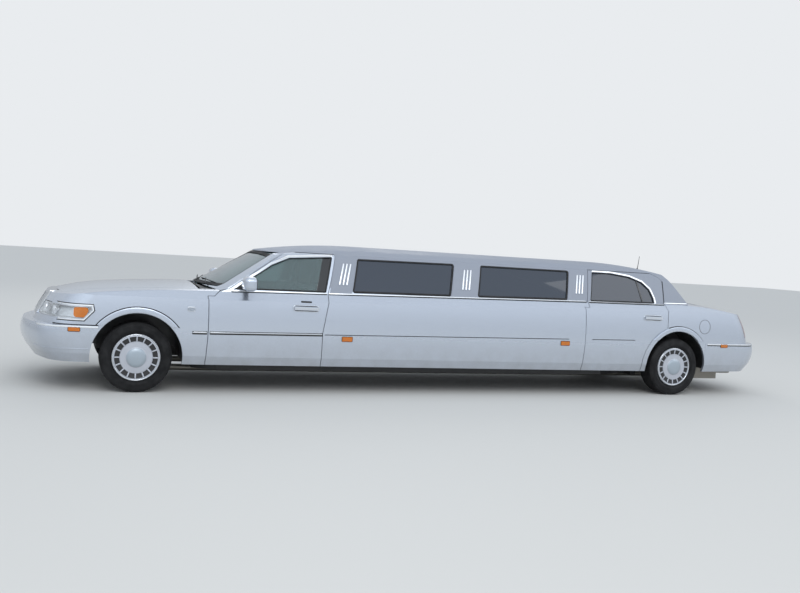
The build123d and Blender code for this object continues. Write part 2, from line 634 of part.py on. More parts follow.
    # Rear door hinge pillars join the side panels
    low_z = floor_z + 90 + seam
    pillar = [block(rear_hinge_x - 110, rear_hinge_x + 24, -side_inner + seam, -815, low_z, pillar_top),
              block(rear_hinge_x - 110, rear_hinge_x - 70, -900, -815, low_z, pillar_top)]
    eyes = [hinge_eye(rear_hinge_x, z, -1) for z in hinge_heights]
    parts["side_panels"] = both(side + [*pillar, *eyes])

    # Power train
    parts["engine"] = joined([
        block(-340, 330, -260, 260, 330, 800), block(90, 330, -140, 140, 240, 340),
        rod(470, 0, 380, 140, 300, "x"), rod(800, 0, shaft_z, 80, 460, "x")])
    shaft_end = wheelbase - 150
    parts["drive_shaft"] = rod((1030.3 + shaft_end) / 2, 0, shaft_z, 38, shaft_end - 1030.3, "x")
    axle = joined([rod(wheelbase, 0, axle_height, 40, 2 * (rear_track / 2 - 50)),
                   rod(wheelbase, 0, axle_height, 130, 170), rod(wheelbase - 85, 0, shaft_z, 70, 129.4, "x"),
                   rod(wheelbase, 0, axle_height, spindle_r, rear_track + 132)])
    for s in (-1, 1):
        axle = axle + rod(wheelbase, s * rear_rail_y, 430, 55, 119.4, "z")
        axle = axle + block(wheelbase - 390, wheelbase, *sorted((s * 590, s * 630)), 290.3, 335)
        axle = axle + rod(wheelbase, s * (rear_track / 2 - 60), axle_height, 55, 20)
    parts["rear_axle"] = axle
    lower = joined([block(-70, 70, -440, 440, 215, 329.7),
                    *[block(-70, 70, *sorted((s * 345, s * 440)), 215, 399.7) for s in (-1, 1)]])
    for s in (-1, 1):
        for z0, root in ((205, 438), (458, 440.3)):
            arm = plan_prism([(-110, s * root), (-26, s * kingpin_y), (26, s * kingpin_y),
                              (110, s * root)], z0, z0 + 20)
            arm = arm + rod(0, s * kingpin_y, z0 + 10, 28, 20, "z")
            lower = lower + arm
        lower = lower + rod(0, s * 590, 340, 44, 240, "z")
    for s in (-1, 1):
        lower = lower - rod(0, s * kingpin_y, 330, 12.3, 400, "z")
    parts["front_suspension"] = lower
    pipes = []
    for s in (-1, 1):
        pipes.append(joined([
            rod(300, s * 288, 420, 26, 55), rod(300, s * 315, 296, 24, 256, "z"),
            rod((300 + wheelbase + 400) / 2, s * 315, 163, 31.7, wheelbase + 100, "x"),
            block(wheelbase + 400, wheelbase + 900, *sorted((s * 240, s * 600)), 150, 290),
            rod(wheelbase + 1000, s * 540, 240, 27, 260, "x")]))
    parts["exhaust"] = pipes

    # Wheels and knuckles
    k = knuckle()
    parts["knuckle_left"], parts["knuckle_right"] = k, mirror(k, about=Plane.XZ)
    w, rubber = wheel(), tyre()
    for name, x, track in (("front", 0, front_track), ("rear", wheelbase, rear_track)):
        for side, s in (("left", -1), ("right", 1)):
            here = Pos(x, s * track / 2, axle_height)
            turned = w if s < 0 else mirror(w, about=Plane.XZ)
            parts[f"wheel_{name}_{side}"] = here * turned
            parts[f"tyre_{name}_{side}"] = here * rubber

    # Cabin
    dash = side_prism([(firewall_x, 620), (firewall_x, 930), (780, 945), (900, 980), (1000, 940),
                       (1010, 860), (960, 640)], -795, 795)
    foot, head = Vector(*column_foot), Vector(*column_head)
    run = (head - foot).normalized()
    column = Plane(origin=foot, z_dir=run) * (Pos(0, 0, 230) * Cylinder(28, 460))
    parts["dashboard"] = (dash + column) & block(firewall_x, 1300, -800, 800, 500, 1000)
    tip = Plane(origin=foot + run * ((head - foot).length - 12), z_dir=run)
    grip = tip * (Pos(0, 0, 12) * Torus(grip_r, 14))
    boss = tip * (Pos(0, 0, 6) * Cylinder(52, 36)) + tip * (Pos(0, 0, 12) * Box(2 * grip_r, 40, 10))
    stalk = Plane(origin=foot + run * 460.3, z_dir=run)
    length = (head - foot).length - 12 - 460.3
    parts["steering_wheel"] = grip + boss + stalk * (Pos(0, 0, length / 2) * Cylinder(20, length))
    top = floor_z + t + seam
    seats = []
    for s in (-1, 1):
        ys = sorted((s * 130, s * 650))
        seats.append(side_prism([(1190, top), (1190, 560), (1230, 590), (1560, 570), (1640, 1080),
                                 (1740, 1090), (1790, 1050), (1700, 560), (1690, top)], *ys))
    parts["front_seats"] = seats
    edge_points = [(800, top), (800, 396), (862, 396), (862, 845), (838, 950), (785, 1100), (650, 1335),
                   (560, 1383)]
    wall = front_prism([*edge_points, *[(-y, z) for y, z in reversed(edge_points)]], 1860, 1885)
    wall = wall - front_prism([(-600, 960), (600, 960), (520, 1330), (-520, 1330)], 1800, 1900)
    parts["partition"] = wall - block(1800, 1900, -97, 97, 200, 424)
    bench = [side_prism([(5080, top), (5060, 590), (5110, 630), (floor_step_x - t - seam, 610),
                         (floor_step_x - t - seam, top)], -640, 640),
             side_prism([(floor_step_x + 10, raised_z + t + seam), (floor_step_x + 90, 1120),
                         (floor_step_x + 200, 1150), (floor_step_x + 270, 1110),
                         (floor_step_x + 230, raised_z + t + seam)], -600, 600),
             front_prism([(380, top), (360, 600), (400, 630), (690, 610), (720, 960), (790, 960),
                          (800, top)], 2500, 4560)]
    bench[0] = bench[0] - block(5000, 5700, -97, 97, 200, 424)
    parts["cabin_seats"] = bench
    cabinet = block(2500, 4400, -800, -560, top, 880)
    bays = [2540 + 460 * i for i in range(4)]
    parts["bar_cabinet"] = cabinet - [block(x, x + 430, -780, -500, 600, 850) for x in bays]

    # Aerial on the roof, leaning back
    x = wheelbase + 55
    z = roof_z(x)
    mast = loft([Pos(x, 0, z) * Circle(4.5), Pos(x + 21, 0, aerial_top_z) * Circle(2.5)])
    foot = rod(x, 0, z + 6, 17, 14, "z") + rod(x, 0, z + 20, 9, 20, "z")
    parts["aerial"] = (mast + foot) - house(-seam)

    # Mirrors, door handles and orange side markers
    plate = side_prism([(880, 1008), (1040, 1008), (1040, 1112)], -1000, -700)
    sail = (plate & house(-7)) - house(-seam)
    arm = block(985, 1030, -985, -868, 1040, 1075)
    head_box = Pos(1000, -1045, 1072) * fillet(Box(128, 190, 136).edges(), 46)
    mirror_left = sail + (arm - house(-seam)) + head_box
    parts["mirror_left"], parts["mirror_right"] = mirror_left, mirror(mirror_left, about=Plane.XZ)
    for door, x0, x1, z in (("front", 1462, 1704, 852), ("rear", 5552, 5782, 893)):
        grip_zone = block(x0, x1, -1100, -900, z - 14, z + 14)
        grip = (grip_zone & hull(-24)) - (block(x0 + 40, x1 - 40, -1100, -900, z - 20, z + 20) & hull(-12))
        grip = grip - inner
        for side in ("left", "right"):
            piece = grip if side == "left" else mirror(grip, about=Plane.XZ)
            parts[f"door_{door}_{side}"] = parts[f"door_{door}_{side}"] + piece
    marks = []
    for x, z, length, height in side_marks:
        flank = hull if front_bumper_x < x < rear_bumper_x else bumper_band
        lens = block(x - length / 2, x + length / 2, -1100, -800, z - height / 2, z + height / 2)
        marks += both((lens & flank(-6)) - flank(-seam))
    parts["side_markers"] = marks
    return parts


def report(parts):
    for name, p in parts.items():
        solids = p if isinstance(p, list) else p.solids()
        for s in solids:
            b = s.bounding_box()
            print(f"{name:24s} {s.is_valid} {s.volume / 1e6:9.2f}",
                  [round(v) for v in (b.min.X, b.max.X, b.min.Y, b.max.Y, b.min.Z, b.max.Z)])


def placed(p):
    """One node moved into the final frame."""
    solids = p if isinstance(p, list) else list(p.solids())
    solids = [Pos(shift, 0, 0) * s for s in solids]
    return solids[0] if len(solids) == 1 else Compound(children=solids)


shift = -(wheelbase + rear_overhang - front_overhang) / 2

if __name__ == "__main__":
    os.makedirs("parts", exist_ok=True)
    parts = build()
    report(parts)
    for name, p in parts.items():
        export_step(placed(p), f"parts/{name}.step")
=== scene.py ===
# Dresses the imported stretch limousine: finishes on its panels, trim, lamps, tyres, seats and a stage.
# Stations are millimetres rearward from the front axle, as in the part; pieces are in metres.
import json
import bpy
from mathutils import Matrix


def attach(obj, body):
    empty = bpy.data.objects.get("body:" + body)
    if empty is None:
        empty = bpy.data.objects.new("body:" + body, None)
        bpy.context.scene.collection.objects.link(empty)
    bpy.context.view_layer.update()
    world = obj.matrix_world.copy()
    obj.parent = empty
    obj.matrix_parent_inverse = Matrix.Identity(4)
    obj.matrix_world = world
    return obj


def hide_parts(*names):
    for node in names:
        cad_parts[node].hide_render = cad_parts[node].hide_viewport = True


bl_info = {
    "name": "Stretch limousine dressing",
    "version": (1, 0, 0),
    "blender": (4, 5, 0),
    "location": "View3D > Sidebar > Limousine",
    "description": "Finishes, trim, lamps, tyres and seats of a stretch limousine",
    "category": "Object",
}

from math import atan2, cos, pi, radians, sin, tan

import bpy
from mathutils import Matrix, Vector

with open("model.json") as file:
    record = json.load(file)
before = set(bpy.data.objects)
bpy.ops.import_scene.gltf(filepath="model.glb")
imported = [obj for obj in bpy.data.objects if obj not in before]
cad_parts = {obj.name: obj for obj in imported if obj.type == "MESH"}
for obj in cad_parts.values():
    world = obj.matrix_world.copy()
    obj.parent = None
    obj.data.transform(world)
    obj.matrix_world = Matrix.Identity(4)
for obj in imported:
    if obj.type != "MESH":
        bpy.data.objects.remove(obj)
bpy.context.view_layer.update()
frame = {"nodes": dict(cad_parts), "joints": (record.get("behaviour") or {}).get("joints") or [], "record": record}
NODES = frame["nodes"]
PIVOTS = {j["name"]: Vector(j["pos_m"]) for j in frame["joints"]}
FRONT_AXLE = PIVOTS["wheel_front_left_spin"].x
MM = 0.001
REAR_AXLE = (PIVOTS["wheel_rear_left_spin"].x - FRONT_AXLE) / MM
SIDES = (("left", -1), ("right", 1))


def at(x, y, z):
    """A point given in millimetres from the front axle, in the frame's metres."""
    return Vector((FRONT_AXLE + x * MM, y * MM, z * MM))


def linear(code):
    """Linear colour of an sRGB hex value."""
    parts = [int(code[i:i + 2], 16) / 255 for i in (1, 3, 5)]
    return tuple(c / 12.92 if c < 0.04045 else ((c + 0.055) / 1.055) ** 2.4 for c in parts)


def colour(name, text, code):
    return bpy.props.FloatVectorProperty(name=name, description=text, subtype="COLOR", size=3,
                                         min=0, max=1, default=linear(code))


def length(name, text, value):
    return bpy.props.FloatProperty(name=name, description=text, unit="LENGTH", default=value,
                                   min=0.0005, max=0.5)


class LimoColours(bpy.types.PropertyGroup):
    paint: colour("Body", "Silver metallic under clear lacquer", "#C2C9D4")
    cover: colour("Roof cover", "Grained vinyl on the roof and pillars", "#8E939D")
    dark_glass: colour("Cabin glass", "Dark tint behind the front doors", "#27313F")
    pale_glass: colour("Front glass", "Pale green tint", "#8FA8A8")
    amber: colour("Amber lenses", "Side markers and corner lamps", "#E8820F")
    red: colour("Red lenses", "Tail lamps", "#8E0E12")
    leather: colour("Seats", "Black leather", "#1C1B1D")
    floor: colour("Stage floor", "Plain pale floor", "#CCCAC5")


class LimoSizes(bpy.types.PropertyGroup):
    trim_width: length("Window trim", "Width of the bright window trim", 0.017)
    trim_depth: length("Trim depth", "How far bright trim stands proud", 0.005)
    moulding_height: length("Moulding", "Height of the side moulding", 0.030)
    lip_width: length("Arch lip", "Width of the wheel arch lips", 0.050)
    bar_width: length("Pillar bars", "Width of each bright pillar bar", 0.017)
    tread_depth: length("Tread", "Depth of the tyre grooves", 0.007)


FINISH = {}  # every material by a plain name, filled by make_finishes


# Modelling helpers


def activate(obj):
    bpy.ops.object.select_all(action="DESELECT")
    obj.select_set(True)
    bpy.context.view_layer.objects.active = obj
    return obj


def added(add, name, **settings):
    """One new primitive, alone in the selection."""
    bpy.ops.object.select_all(action="DESELECT")
    add(**settings)
    obj = bpy.context.view_layer.objects.active
    obj.name = name
    obj.data.name = name
    return obj


def settle(obj):
    """Puts a piece's place, turn and size into its mesh."""
    activate(obj)
    bpy.ops.object.transform_apply(location=True, rotation=True, scale=True)
    return obj


def edit(obj, kind, test, *steps):
    """Selects vertices, edges or faces by a test, then runs edit-mode operators on them."""
    activate(obj)
    kinds = ("VERT", "EDGE", "FACE")
    bpy.context.tool_settings.mesh_select_mode = tuple(kind == k for k in kinds)
    mesh = obj.data
    groups = (mesh.vertices, mesh.edges, mesh.polygons)
    for group in groups:
        group.foreach_set("select", [False] * len(group))
    for item in groups[kinds.index(kind)]:
        item.select = test(item)
    bpy.ops.object.mode_set(mode="EDIT")
    for step, settings in steps:
        step(**settings)
    bpy.ops.object.mode_set(mode="OBJECT")
    return obj


def everything(item):
    return True


def modified(obj, kind, **settings):
    """Adds one modifier and applies it."""
    activate(obj)
    modifier = obj.modifiers.new(kind.title(), kind)
    for key, value in settings.items():
        setattr(modifier, key, value)
    bpy.ops.object.modifier_apply(modifier=modifier.name)
    return obj


def smooth(obj, angle=35):
    activate(obj)
    bpy.ops.object.shade_smooth_by_angle(angle=radians(angle))
    return obj


def copied(obj, name):
    """Copy of an object, with a mesh of its own."""
    twin = obj.copy()
    twin.data = obj.data.copy()
    twin.name = name
    twin.data.name = name
    bpy.context.scene.collection.objects.link(twin)
    return twin


def outward(obj):
    """Merges doubles and turns the faces outwards."""
    return edit(obj, "FACE", everything, (bpy.ops.mesh.remove_doubles, {"threshold": 1e-5}),
                (bpy.ops.mesh.normals_make_consistent, {"inside": False}))


def dress(obj, finish, body, angle=35):
    """Last steps of a piece: shading, material and body."""
    smooth(obj, angle)
    obj.data.materials.clear()
    obj.data.materials.append(FINISH[finish])
    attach(obj, body)
    return obj


def other_side(obj, body):
    """Mirror image of a dressed left piece."""
    twin = copied(obj, obj.name.replace("left", "right"))
    twin.parent = None
    twin.data.transform(Matrix.Scale(-1, 4, (0, 1, 0)))
    twin.data.flip_normals()
    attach(twin, body.replace("left", "right"))
    return twin


def both(obj, finish, body, angle=35):
    """Dresses a left piece and adds the right one."""
    dress(obj, finish, body, angle)
    return [obj, other_side(obj, body)]


# Each view: axis that its outlines are laid along, where they start, and the way to the car
STAND_OFF = 1300
VIEWS = {"side": ("y", -STAND_OFF, 1), "front": ("x", -1500, 1), "rear": ("x", 8200, -1),
         "top": ("z", 2200, -1)}


def flank(node, x, z):
    """Point and outward normal where a level line from the left meets a node's outside."""
    hit, place, normal, _ = NODES[node].ray_cast(at(x, -STAND_OFF, z), Vector((0, 1, 0)))
    if not hit:
        raise RuntimeError(f"nothing of {node} at {x:.0f}, {z:.0f}")
    return place, normal


def in_view(view, a, b, back=0.0):
    """Point of a view's drawing plane: (x, z) from the side, (y, z) from the ends, (x, y) from above."""
    axis, start, way = VIEWS[view]
    depth = start - back * way
    return at(*{"y": (a, depth, b), "x": (depth, a, b), "z": (a, b, depth)}[axis])


def laid(obj, node, view="side"):
    """Lays a flat piece on a node's outside, along the view's axis."""
    axis, _, way = VIEWS[view]
    number = "xyz".index(axis)
    before = [v.co[number] for v in obj.data.vertices]
    modified(obj, "SHRINKWRAP", wrap_method="PROJECT", target=NODES[node],
             use_positive_direction=way > 0, use_negative_direction=way < 0,
             **{f"use_project_{axis}": True})
    missed = sum(abs(v.co[number] - old) < 1e-6 for v, old in zip(obj.data.vertices, before))
    if missed:
        raise RuntimeError(f"{obj.name}: {missed} points miss {node}")
    return obj


def proud(obj, depth):
    """Gives a laid skin its thickness, standing outwards, with rounded edges."""
    sink = 0.3  # share of the depth that lies under the surface
    modified(obj, "SOLIDIFY", thickness=depth * (1 + sink), offset=1 - 2 * sink / (1 + sink))
    return modified(obj, "BEVEL", width=depth * 0.3, segments=2, limit_method="ANGLE",
                    angle_limit=radians(50))


def rounded(points, radius, steps=5):
    """Closed outline with an arc, tangent to both sides, in place of each corner."""
    result = []
    for number, corner in enumerate(points):
        here = Vector(corner)
        before = (Vector(points[number - 1]) - here).normalized()
        after = (Vector(points[(number + 1) % len(points)]) - here).normalized()
        half = before.angle(after) / 2
        middle = here + (before + after).normalized() * radius / sin(half)
        start = here + before * radius / tan(half) - middle
        turn = pi - 2 * half
        if before.x * after.y > before.y * after.x:
            turn = -turn
        result += [middle + Matrix.Rotation(turn * i / steps, 2) @ start for i in range(steps + 1)]
    return result


def circle(x, z, radius, count):
    """Closed round outline about a point of a view."""
    turns = [2 * pi * i / count for i in range(count)]
    return [(x + radius * cos(turn), z + radius * sin(turn)) for turn in turns]


def grown(points, distance):
    """Outline moved outwards by a distance, in millimetres."""
    points = [Vector(p) for p in points]
    turned = points[1:] + points[:1]
    way = 1 if sum(a.x * b.y - b.x * a.y for a, b in zip(points, turned)) > 0 else -1
    result = []
    for number, here in enumerate(points):
        before = (here - points[number - 1]).normalized()
        after = (turned[number] - here).normalized()
        normals = Vector((before.y, -before.x)), Vector((after.y, -after.x))
        result.append(here + way * distance * (normals[0] + normals[1]) / (1 + normals[0].dot(normals[1])))
    return result


def outline(name, points, radius=0.0, view="side"):
    """Filled outline through points of a view, with rounded corners, facing away from the car."""
    if radius:
        points = rounded(points, radius)
    obj = added(bpy.ops.mesh.primitive_circle_add, name, vertices=len(points), radius=1, fill_type="NGON")
    settle(obj)
    for vertex, point in zip(obj.data.vertices, points):
        vertex.co = in_view(view, *point)
    axis, _, way = VIEWS[view]
    if obj.data.polygons[0].normal["xyz".index(axis)] * way > 0:
        edit(obj, "FACE", everything, (bpy.ops.mesh.flip_normals, {}))
    return obj


def band(name, points, radius, start, width, node, depth, view="side", out=False, cuts=5, keep=None,
         above=None):
    """Band round an outline, beginning at a distance from it, inwards or outwards, in metres.
    It can be cut off level at a height, or keep only the faces that pass a test of (x, z)."""
    if out:
        points = grown(rounded(points, radius) if radius else points, (start + width) / MM)
    obj = outline(name, points, 0 if out else radius, view)
    steps = []
    if start and not out:
        steps += [(bpy.ops.mesh.inset, {"thickness": start}),
                  (bpy.ops.mesh.select_all, {"action": "INVERT"}), (bpy.ops.mesh.delete, {"type": "FACE"}),
                  (bpy.ops.mesh.select_all, {"action": "SELECT"})]
    steps += [(bpy.ops.mesh.inset, {"thickness": width}), (bpy.ops.mesh.delete, {"type": "FACE"})]
    edit(obj, "FACE", everything, *steps)
    if cuts:
        edit(obj, "FACE", everything, (bpy.ops.mesh.subdivide, {"number_cuts": cuts}))
    if above:
        edit(obj, "FACE", everything, (bpy.ops.mesh.bisect, {
            "plane_co": at(0, 0, above), "plane_no": (0, 0, 1), "clear_inner": True}))
    if not obj.data.polygons:
        raise RuntimeError(f"{name} is empty")
    if keep:
        edit(obj, "FACE", lambda p: not keep((p.center.x - FRONT_AXLE) / MM, p.center.z / MM),
             (bpy.ops.mesh.delete, {"type": "FACE"}))
    laid(obj, node, view)
    return proud(obj, depth)


def plate(name, points, radius, node, depth, view="side", cell=0.06):
    """Filled shape laid on a node, cut into cells so that it follows the surface."""
    obj = outline(name, points, radius, view)
    sizes = obj.dimensions
    edit(obj, "FACE", everything, (bpy.ops.mesh.inset, {"thickness": max(depth, 0.002)}))
    for number in range(3):
        if "xyz"[number] == VIEWS[view][0]:
            continue
        low = min(v.co[number] for v in obj.data.vertices)
        count = int(sizes[number] / cell)
        for i in range(1, count + 1):
            place = Vector((0, 0, 0))
            place[number] = low + sizes[number] * i / (count + 1)
            normal = Vector((0, 0, 0))
            normal[number] = 1
            edit(obj, "FACE", everything, (bpy.ops.mesh.bisect, {"plane_co": place, "plane_no": normal}))
    laid(obj, node, view)
    return proud(obj, depth)


def strip(name, ends, height, node, depth, cuts=12):
    """Straight moulding on the left flank between two (x, z) ends."""
    (x0, z0), (x1, z1) = ends
    run = at(x1, 0, z1) - at(x0, 0, z0)
    obj = added(bpy.ops.mesh.primitive_grid_add, name, x_subdivisions=cuts, y_subdivisions=2, size=1,
                location=in_view("side", (x0 + x1) / 2, (z0 + z1) / 2),
                rotation=(pi / 2, -atan2(run.z, run.x), 0))
    obj.scale = (run.length, height, 1)
    settle(obj)
    laid(obj, node)
    return proud(obj, depth)


def bar_between(name, high, low, out, width, depth, rise):
    """Rounded bar between two points, its middle raised from them along out."""
    along = (high - low).normalized()
    across = out.cross(along).normalized()
    out = along.cross(across)
    obj = added(bpy.ops.mesh.primitive_cube_add, name, size=1)
    obj.scale = (width, depth, (high - low).length)
    settle(obj)
    edit(obj, "EDGE", everything, (bpy.ops.mesh.bevel, {
        "offset": min(width, depth) * 0.42, "segments": 3}))
    turn = Matrix((across, -out, along)).transposed().to_4x4()
    obj.matrix_world = Matrix.Translation((high + low) / 2 + out * rise) @ turn
    return settle(obj)


def seated_bar(name, node, top, bottom, width, depth):
    """Rounded bar lying on the left flank between two (x, z) points."""
    high, normal_high = flank(node, *top)
    low, normal_low = flank(node, *bottom)
    out = (normal_high + normal_low).normalized()
    return bar_between(name, high, low, out, width, depth, depth * 0.35)


def lathe(name, profile, steps):
    """Solid of revolution about the Y axis; profile of (r, y) in millimetres."""
    obj = added(bpy.ops.mesh.primitive_circle_add, name, vertices=len(profile), radius=1,
                fill_type="NOTHING")
    for vertex, (r, y) in zip(obj.data.vertices, profile):
        vertex.co = Vector((r * MM, y * MM, 0))
    edit(obj, "VERT", everything, (bpy.ops.mesh.spin, {
        "steps": steps, "angle": 2 * pi, "center": (0, 0, 0), "axis": (0, 1, 0)}))
    return outward(obj)


def ring_of(obj, count):
    """One piece made of copies of an object turned about the Y axis."""
    twins = []
    for number in range(1, count):
        twin = copied(obj, f"{obj.name}_{number}")
        twin.data.transform(Matrix.Rotation(2 * pi * number / count, 4, "Y"))
        twins.append(twin)
    activate(obj)
    for twin in twins:
        twin.select_set(True)
    bpy.ops.object.join()
    return obj


def skin_of(node, name, test):
    """Merged copy of the faces of a node that pass a test."""
    obj = copied(NODES[node], name)
    for key in list(obj.keys()):
        del obj[key]
    obj.parent = None
    obj.matrix_world = Matrix.Identity(4)
    obj.hide_render = False
    edit(obj, "FACE", everything, (bpy.ops.mesh.remove_doubles, {"threshold": 2e-6}))
    edit(obj, "FACE", lambda p: not test(p), (bpy.ops.mesh.delete, {"type": "FACE"}))
    return obj


def shell_of(node, name, test, depth, rim=0.0, offset=-1.0):
    """Thin shell on some faces of a node; with a rim, only on their border of that width."""
    obj = skin_of(node, name, test)
    if rim:
        edit(obj, "FACE", everything, (bpy.ops.mesh.inset, {"thickness": rim}),
             (bpy.ops.mesh.delete, {"type": "FACE"}))
    return modified(obj, "SOLIDIFY", thickness=depth, offset=offset)


# Finishes


def add_node(tree, kind, settings=None, links=None, into=None):
    """One shader node with its settings, the outputs that feed it and the inputs it feeds."""
    item = tree.nodes.new(kind)
    for key, value in (settings or {}).items():
        if isinstance(key, int) or key in item.inputs:
            item.inputs[key].default_value = value
        else:
            setattr(item, key, value)
    for key, source in (links or {}).items():
        tree.links.new(source, item.inputs[key])
    for key, target in (into or {}).items():
        tree.links.new(item.outputs[key], target)
    return item


def tones(rgb, low, high):
    """Settings of a mix from a darker to a lighter tone of one colour."""
    return {"data_type": "RGBA", 6: (*[c * low for c in rgb], 1),
            7: (*[min(1, c * high) for c in rgb], 1)}


def base_material(name, rgb, rough, metal=0.0, **more):
    """A new material with its Principled shader; returns the material, its tree and the shader."""
    material = bpy.data.materials.new(name)
    material.use_nodes = True
    tree = material.node_tree
    shader = tree.nodes["Principled BSDF"]
    shader.inputs["Base Color"].default_value = (*rgb, 1)
    shader.inputs["Roughness"].default_value = rough
    shader.inputs["Metallic"].default_value = metal
    for key, value in more.items():
        shader.inputs[key.replace("_", " ").title().replace("Ior", "IOR")].default_value = value
    material.diffuse_color = (*rgb, 1)
    return material, tree, shader


def cloudy(tree, shader, place, scale, detail, low, high):
    """Lets the roughness drift between two values, like wear. Returns the pattern, to tint with."""
    clouds = add_node(tree, "ShaderNodeTexNoise", {"Scale": scale, "Detail": detail},
                      {"Vector": place}).outputs["Fac"]
    add_node(tree, "ShaderNodeMapRange", {
        "From Min": 0.35, "From Max": 0.65, "To Min": low, "To Max": high}, {"Value": clouds},
        into={"Result": shader.inputs["Roughness"]})
    return clouds


def lacquered_metallic_paint(settings):
    """Silver base coat with aluminium flakes under lacquer: bright, with a soft sparkle.
    Painted shade darkens and dulls it towards the sills. Flakes are drawn 3 mm wide so that they show at all."""
    rgb = tuple(settings.paint)
    material, tree, shader = base_material("paint_silver_metallic", rgb, 0.3, 0.75,
                                           coat_weight=1.0, coat_roughness=0.04)
    place = add_node(tree, "ShaderNodeTexCoord").outputs["Object"]
    flakes = add_node(tree, "ShaderNodeTexVoronoi", {"Scale": 330.0}, {"Vector": place})  # 3 mm
    grey = add_node(tree, "ShaderNodeSeparateColor", None, {"Color": flakes.outputs["Color"]})
    flake_tone = add_node(tree, "ShaderNodeMix", tones(rgb, 0.93, 1.06),
                          {"Factor": grey.outputs["Red"]})
    # Painted shade on the lower flank: a darker warm grey in patches of about 14 cm, deepest below 26 cm and gone
    # above 62 cm
    apart = add_node(tree, "ShaderNodeSeparateXYZ", None, {"Vector": place})
    shade_patches = add_node(tree, "ShaderNodeTexNoise", {"Scale": 7.0, "Detail": 6.0}, {"Vector": place})
    low = add_node(tree, "ShaderNodeMapRange", {
        "From Min": 0.62, "From Max": 0.26, "To Min": 0.0, "To Max": 0.55},
        {"Value": apart.outputs["Z"]})
    lower_shade = add_node(tree, "ShaderNodeMath", {"operation": "MULTIPLY", "use_clamp": True},
                    {0: low.outputs["Result"], 1: shade_patches.outputs["Fac"]})
    # Mixes the painted shade, a darker warm grey, into the flake tone; the lacquer is rougher where it lies
    add_node(tree, "ShaderNodeMix", {"data_type": "RGBA", 7: (*linear("#8A8680"), 1)},
             {"Factor": lower_shade.outputs["Value"], 6: flake_tone.outputs[2]},
             into={2: shader.inputs["Base Color"]})
    add_node(tree, "ShaderNodeMapRange", {
        "From Min": 0.0, "From Max": 0.5, "To Min": 0.26, "To Max": 0.5}, {"Value": lower_shade.outputs["Value"]},
        into={"Result": shader.inputs["Roughness"]})
    # Orange peel in the lacquer, about 4 mm wide
    peel = add_node(tree, "ShaderNodeTexNoise", {"Scale": 260.0, "Detail": 1.0}, {"Vector": place})
    add_node(tree, "ShaderNodeBump", {"Strength": 0.04, "Distance": 0.0004},
             {"Height": peel.outputs["Fac"]}, into={"Normal": shader.inputs["Coat Normal"]})
    return material


def grained_vinyl(settings):
    """Padded vinyl cloth: fine leather grain 2.4 mm across, soft and nearly matt."""
    rgb = tuple(settings.cover)
    material, tree, shader = base_material("vinyl_grained", rgb, 0.62, 0.0, coat_weight=0.08,
                                           coat_roughness=0.4)
    place = add_node(tree, "ShaderNodeTexCoord").outputs["Object"]
    grain = add_node(tree, "ShaderNodeTexVoronoi", {"Scale": 420.0, "feature": "DISTANCE_TO_EDGE"},
                     {"Vector": place})
    creases = add_node(tree, "ShaderNodeMapRange", {
        "From Min": 0.0, "From Max": 0.12, "To Min": 0.0, "To Max": 1.0},
        {"Value": grain.outputs["Distance"]})
    add_node(tree, "ShaderNodeBump", {"Strength": 0.5, "Distance": 0.0006},
             {"Height": creases.outputs["Result"]}, into={"Normal": shader.inputs["Normal"]})
    fade = cloudy(tree, shader, place, 3.0, 5.0, 0.52, 0.7)
    add_node(tree, "ShaderNodeMix", tones(rgb, 0.9, 1.08), {"Factor": fade},
             into={2: shader.inputs["Base Color"]})
    return material


def tinted_glass(name, rgb, rough, clear):
    """Toughened glass with a body tint: sharp reflections, seen through by its share of clear."""
    material, tree, shader = base_material(name, rgb, rough, 0.0, ior=1.52, transmission_weight=clear,
                                           coat_weight=0.4, coat_roughness=0.01)
    place = add_node(tree, "ShaderNodeTexCoord").outputs["Object"]
    cloudy(tree, shader, place, 9.0, 4.0, rough, rough + 0.03)
    return material


def polished_chrome(name="chrome_polished", code="#D6D9DD", rough=0.06):
    """Polished metal, first of all chromium plate on steel: mirror bright, with faint wiping
    marks about 3 cm wide."""
    material, tree, shader = base_material(name, linear(code), rough, 1.0)
    place = add_node(tree, "ShaderNodeTexCoord").outputs["Object"]
    cloudy(tree, shader, place, 30.0, 8.0, rough, rough + 0.09)
    return material


def speckled(name, code, rough, metal=0.0, scale=900.0, strength=0.15, depth=0.0003, spread=0.12,
             **more):
    """Moulded, cast or painted surface with an even grain and slight changes of tone. A scale of
    900 is a grain of 1.1 mm, coarser than the real one so that it shows."""
    rgb = linear(code)
    material, tree, shader = base_material(name, rgb, rough, metal, **more)
    place = add_node(tree, "ShaderNodeTexCoord").outputs["Object"]
    grit = add_node(tree, "ShaderNodeTexNoise", {"Scale": scale, "Detail": 3.0}, {"Vector": place})
    add_node(tree, "ShaderNodeBump", {"Strength": strength, "Distance": depth},
             {"Height": grit.outputs["Fac"]}, into={"Normal": shader.inputs["Normal"]})
    patch = cloudy(tree, shader, place, 12.0, 5.0, rough * 0.85, min(1, rough * 1.15))
    add_node(tree, "ShaderNodeMix", tones(rgb, 1 - spread, 1 + spread), {"Factor": patch},
             into={2: shader.inputs["Base Color"]})
    return material


def ribbed_lens(name, rgb, rough=0.08, clear=0.55, pitch=0.006):
    """Acrylic lens with moulded upright ribs, their pitch in metres: deep colour, broken shine."""
    material, tree, shader = base_material(name, rgb, rough, 0.0, ior=1.49, transmission_weight=clear,
                                           coat_weight=0.6, coat_roughness=0.02)
    place = add_node(tree, "ShaderNodeTexCoord").outputs["Object"]
    ribs = add_node(tree, "ShaderNodeTexWave", {"Scale": 0.314 / pitch, "bands_direction": "X"},
                    {"Vector": place})
    add_node(tree, "ShaderNodeBump", {"Strength": 0.35, "Distance": 0.001},
             {"Height": ribs.outputs["Fac"]}, into={"Normal": shader.inputs["Normal"]})
    return material


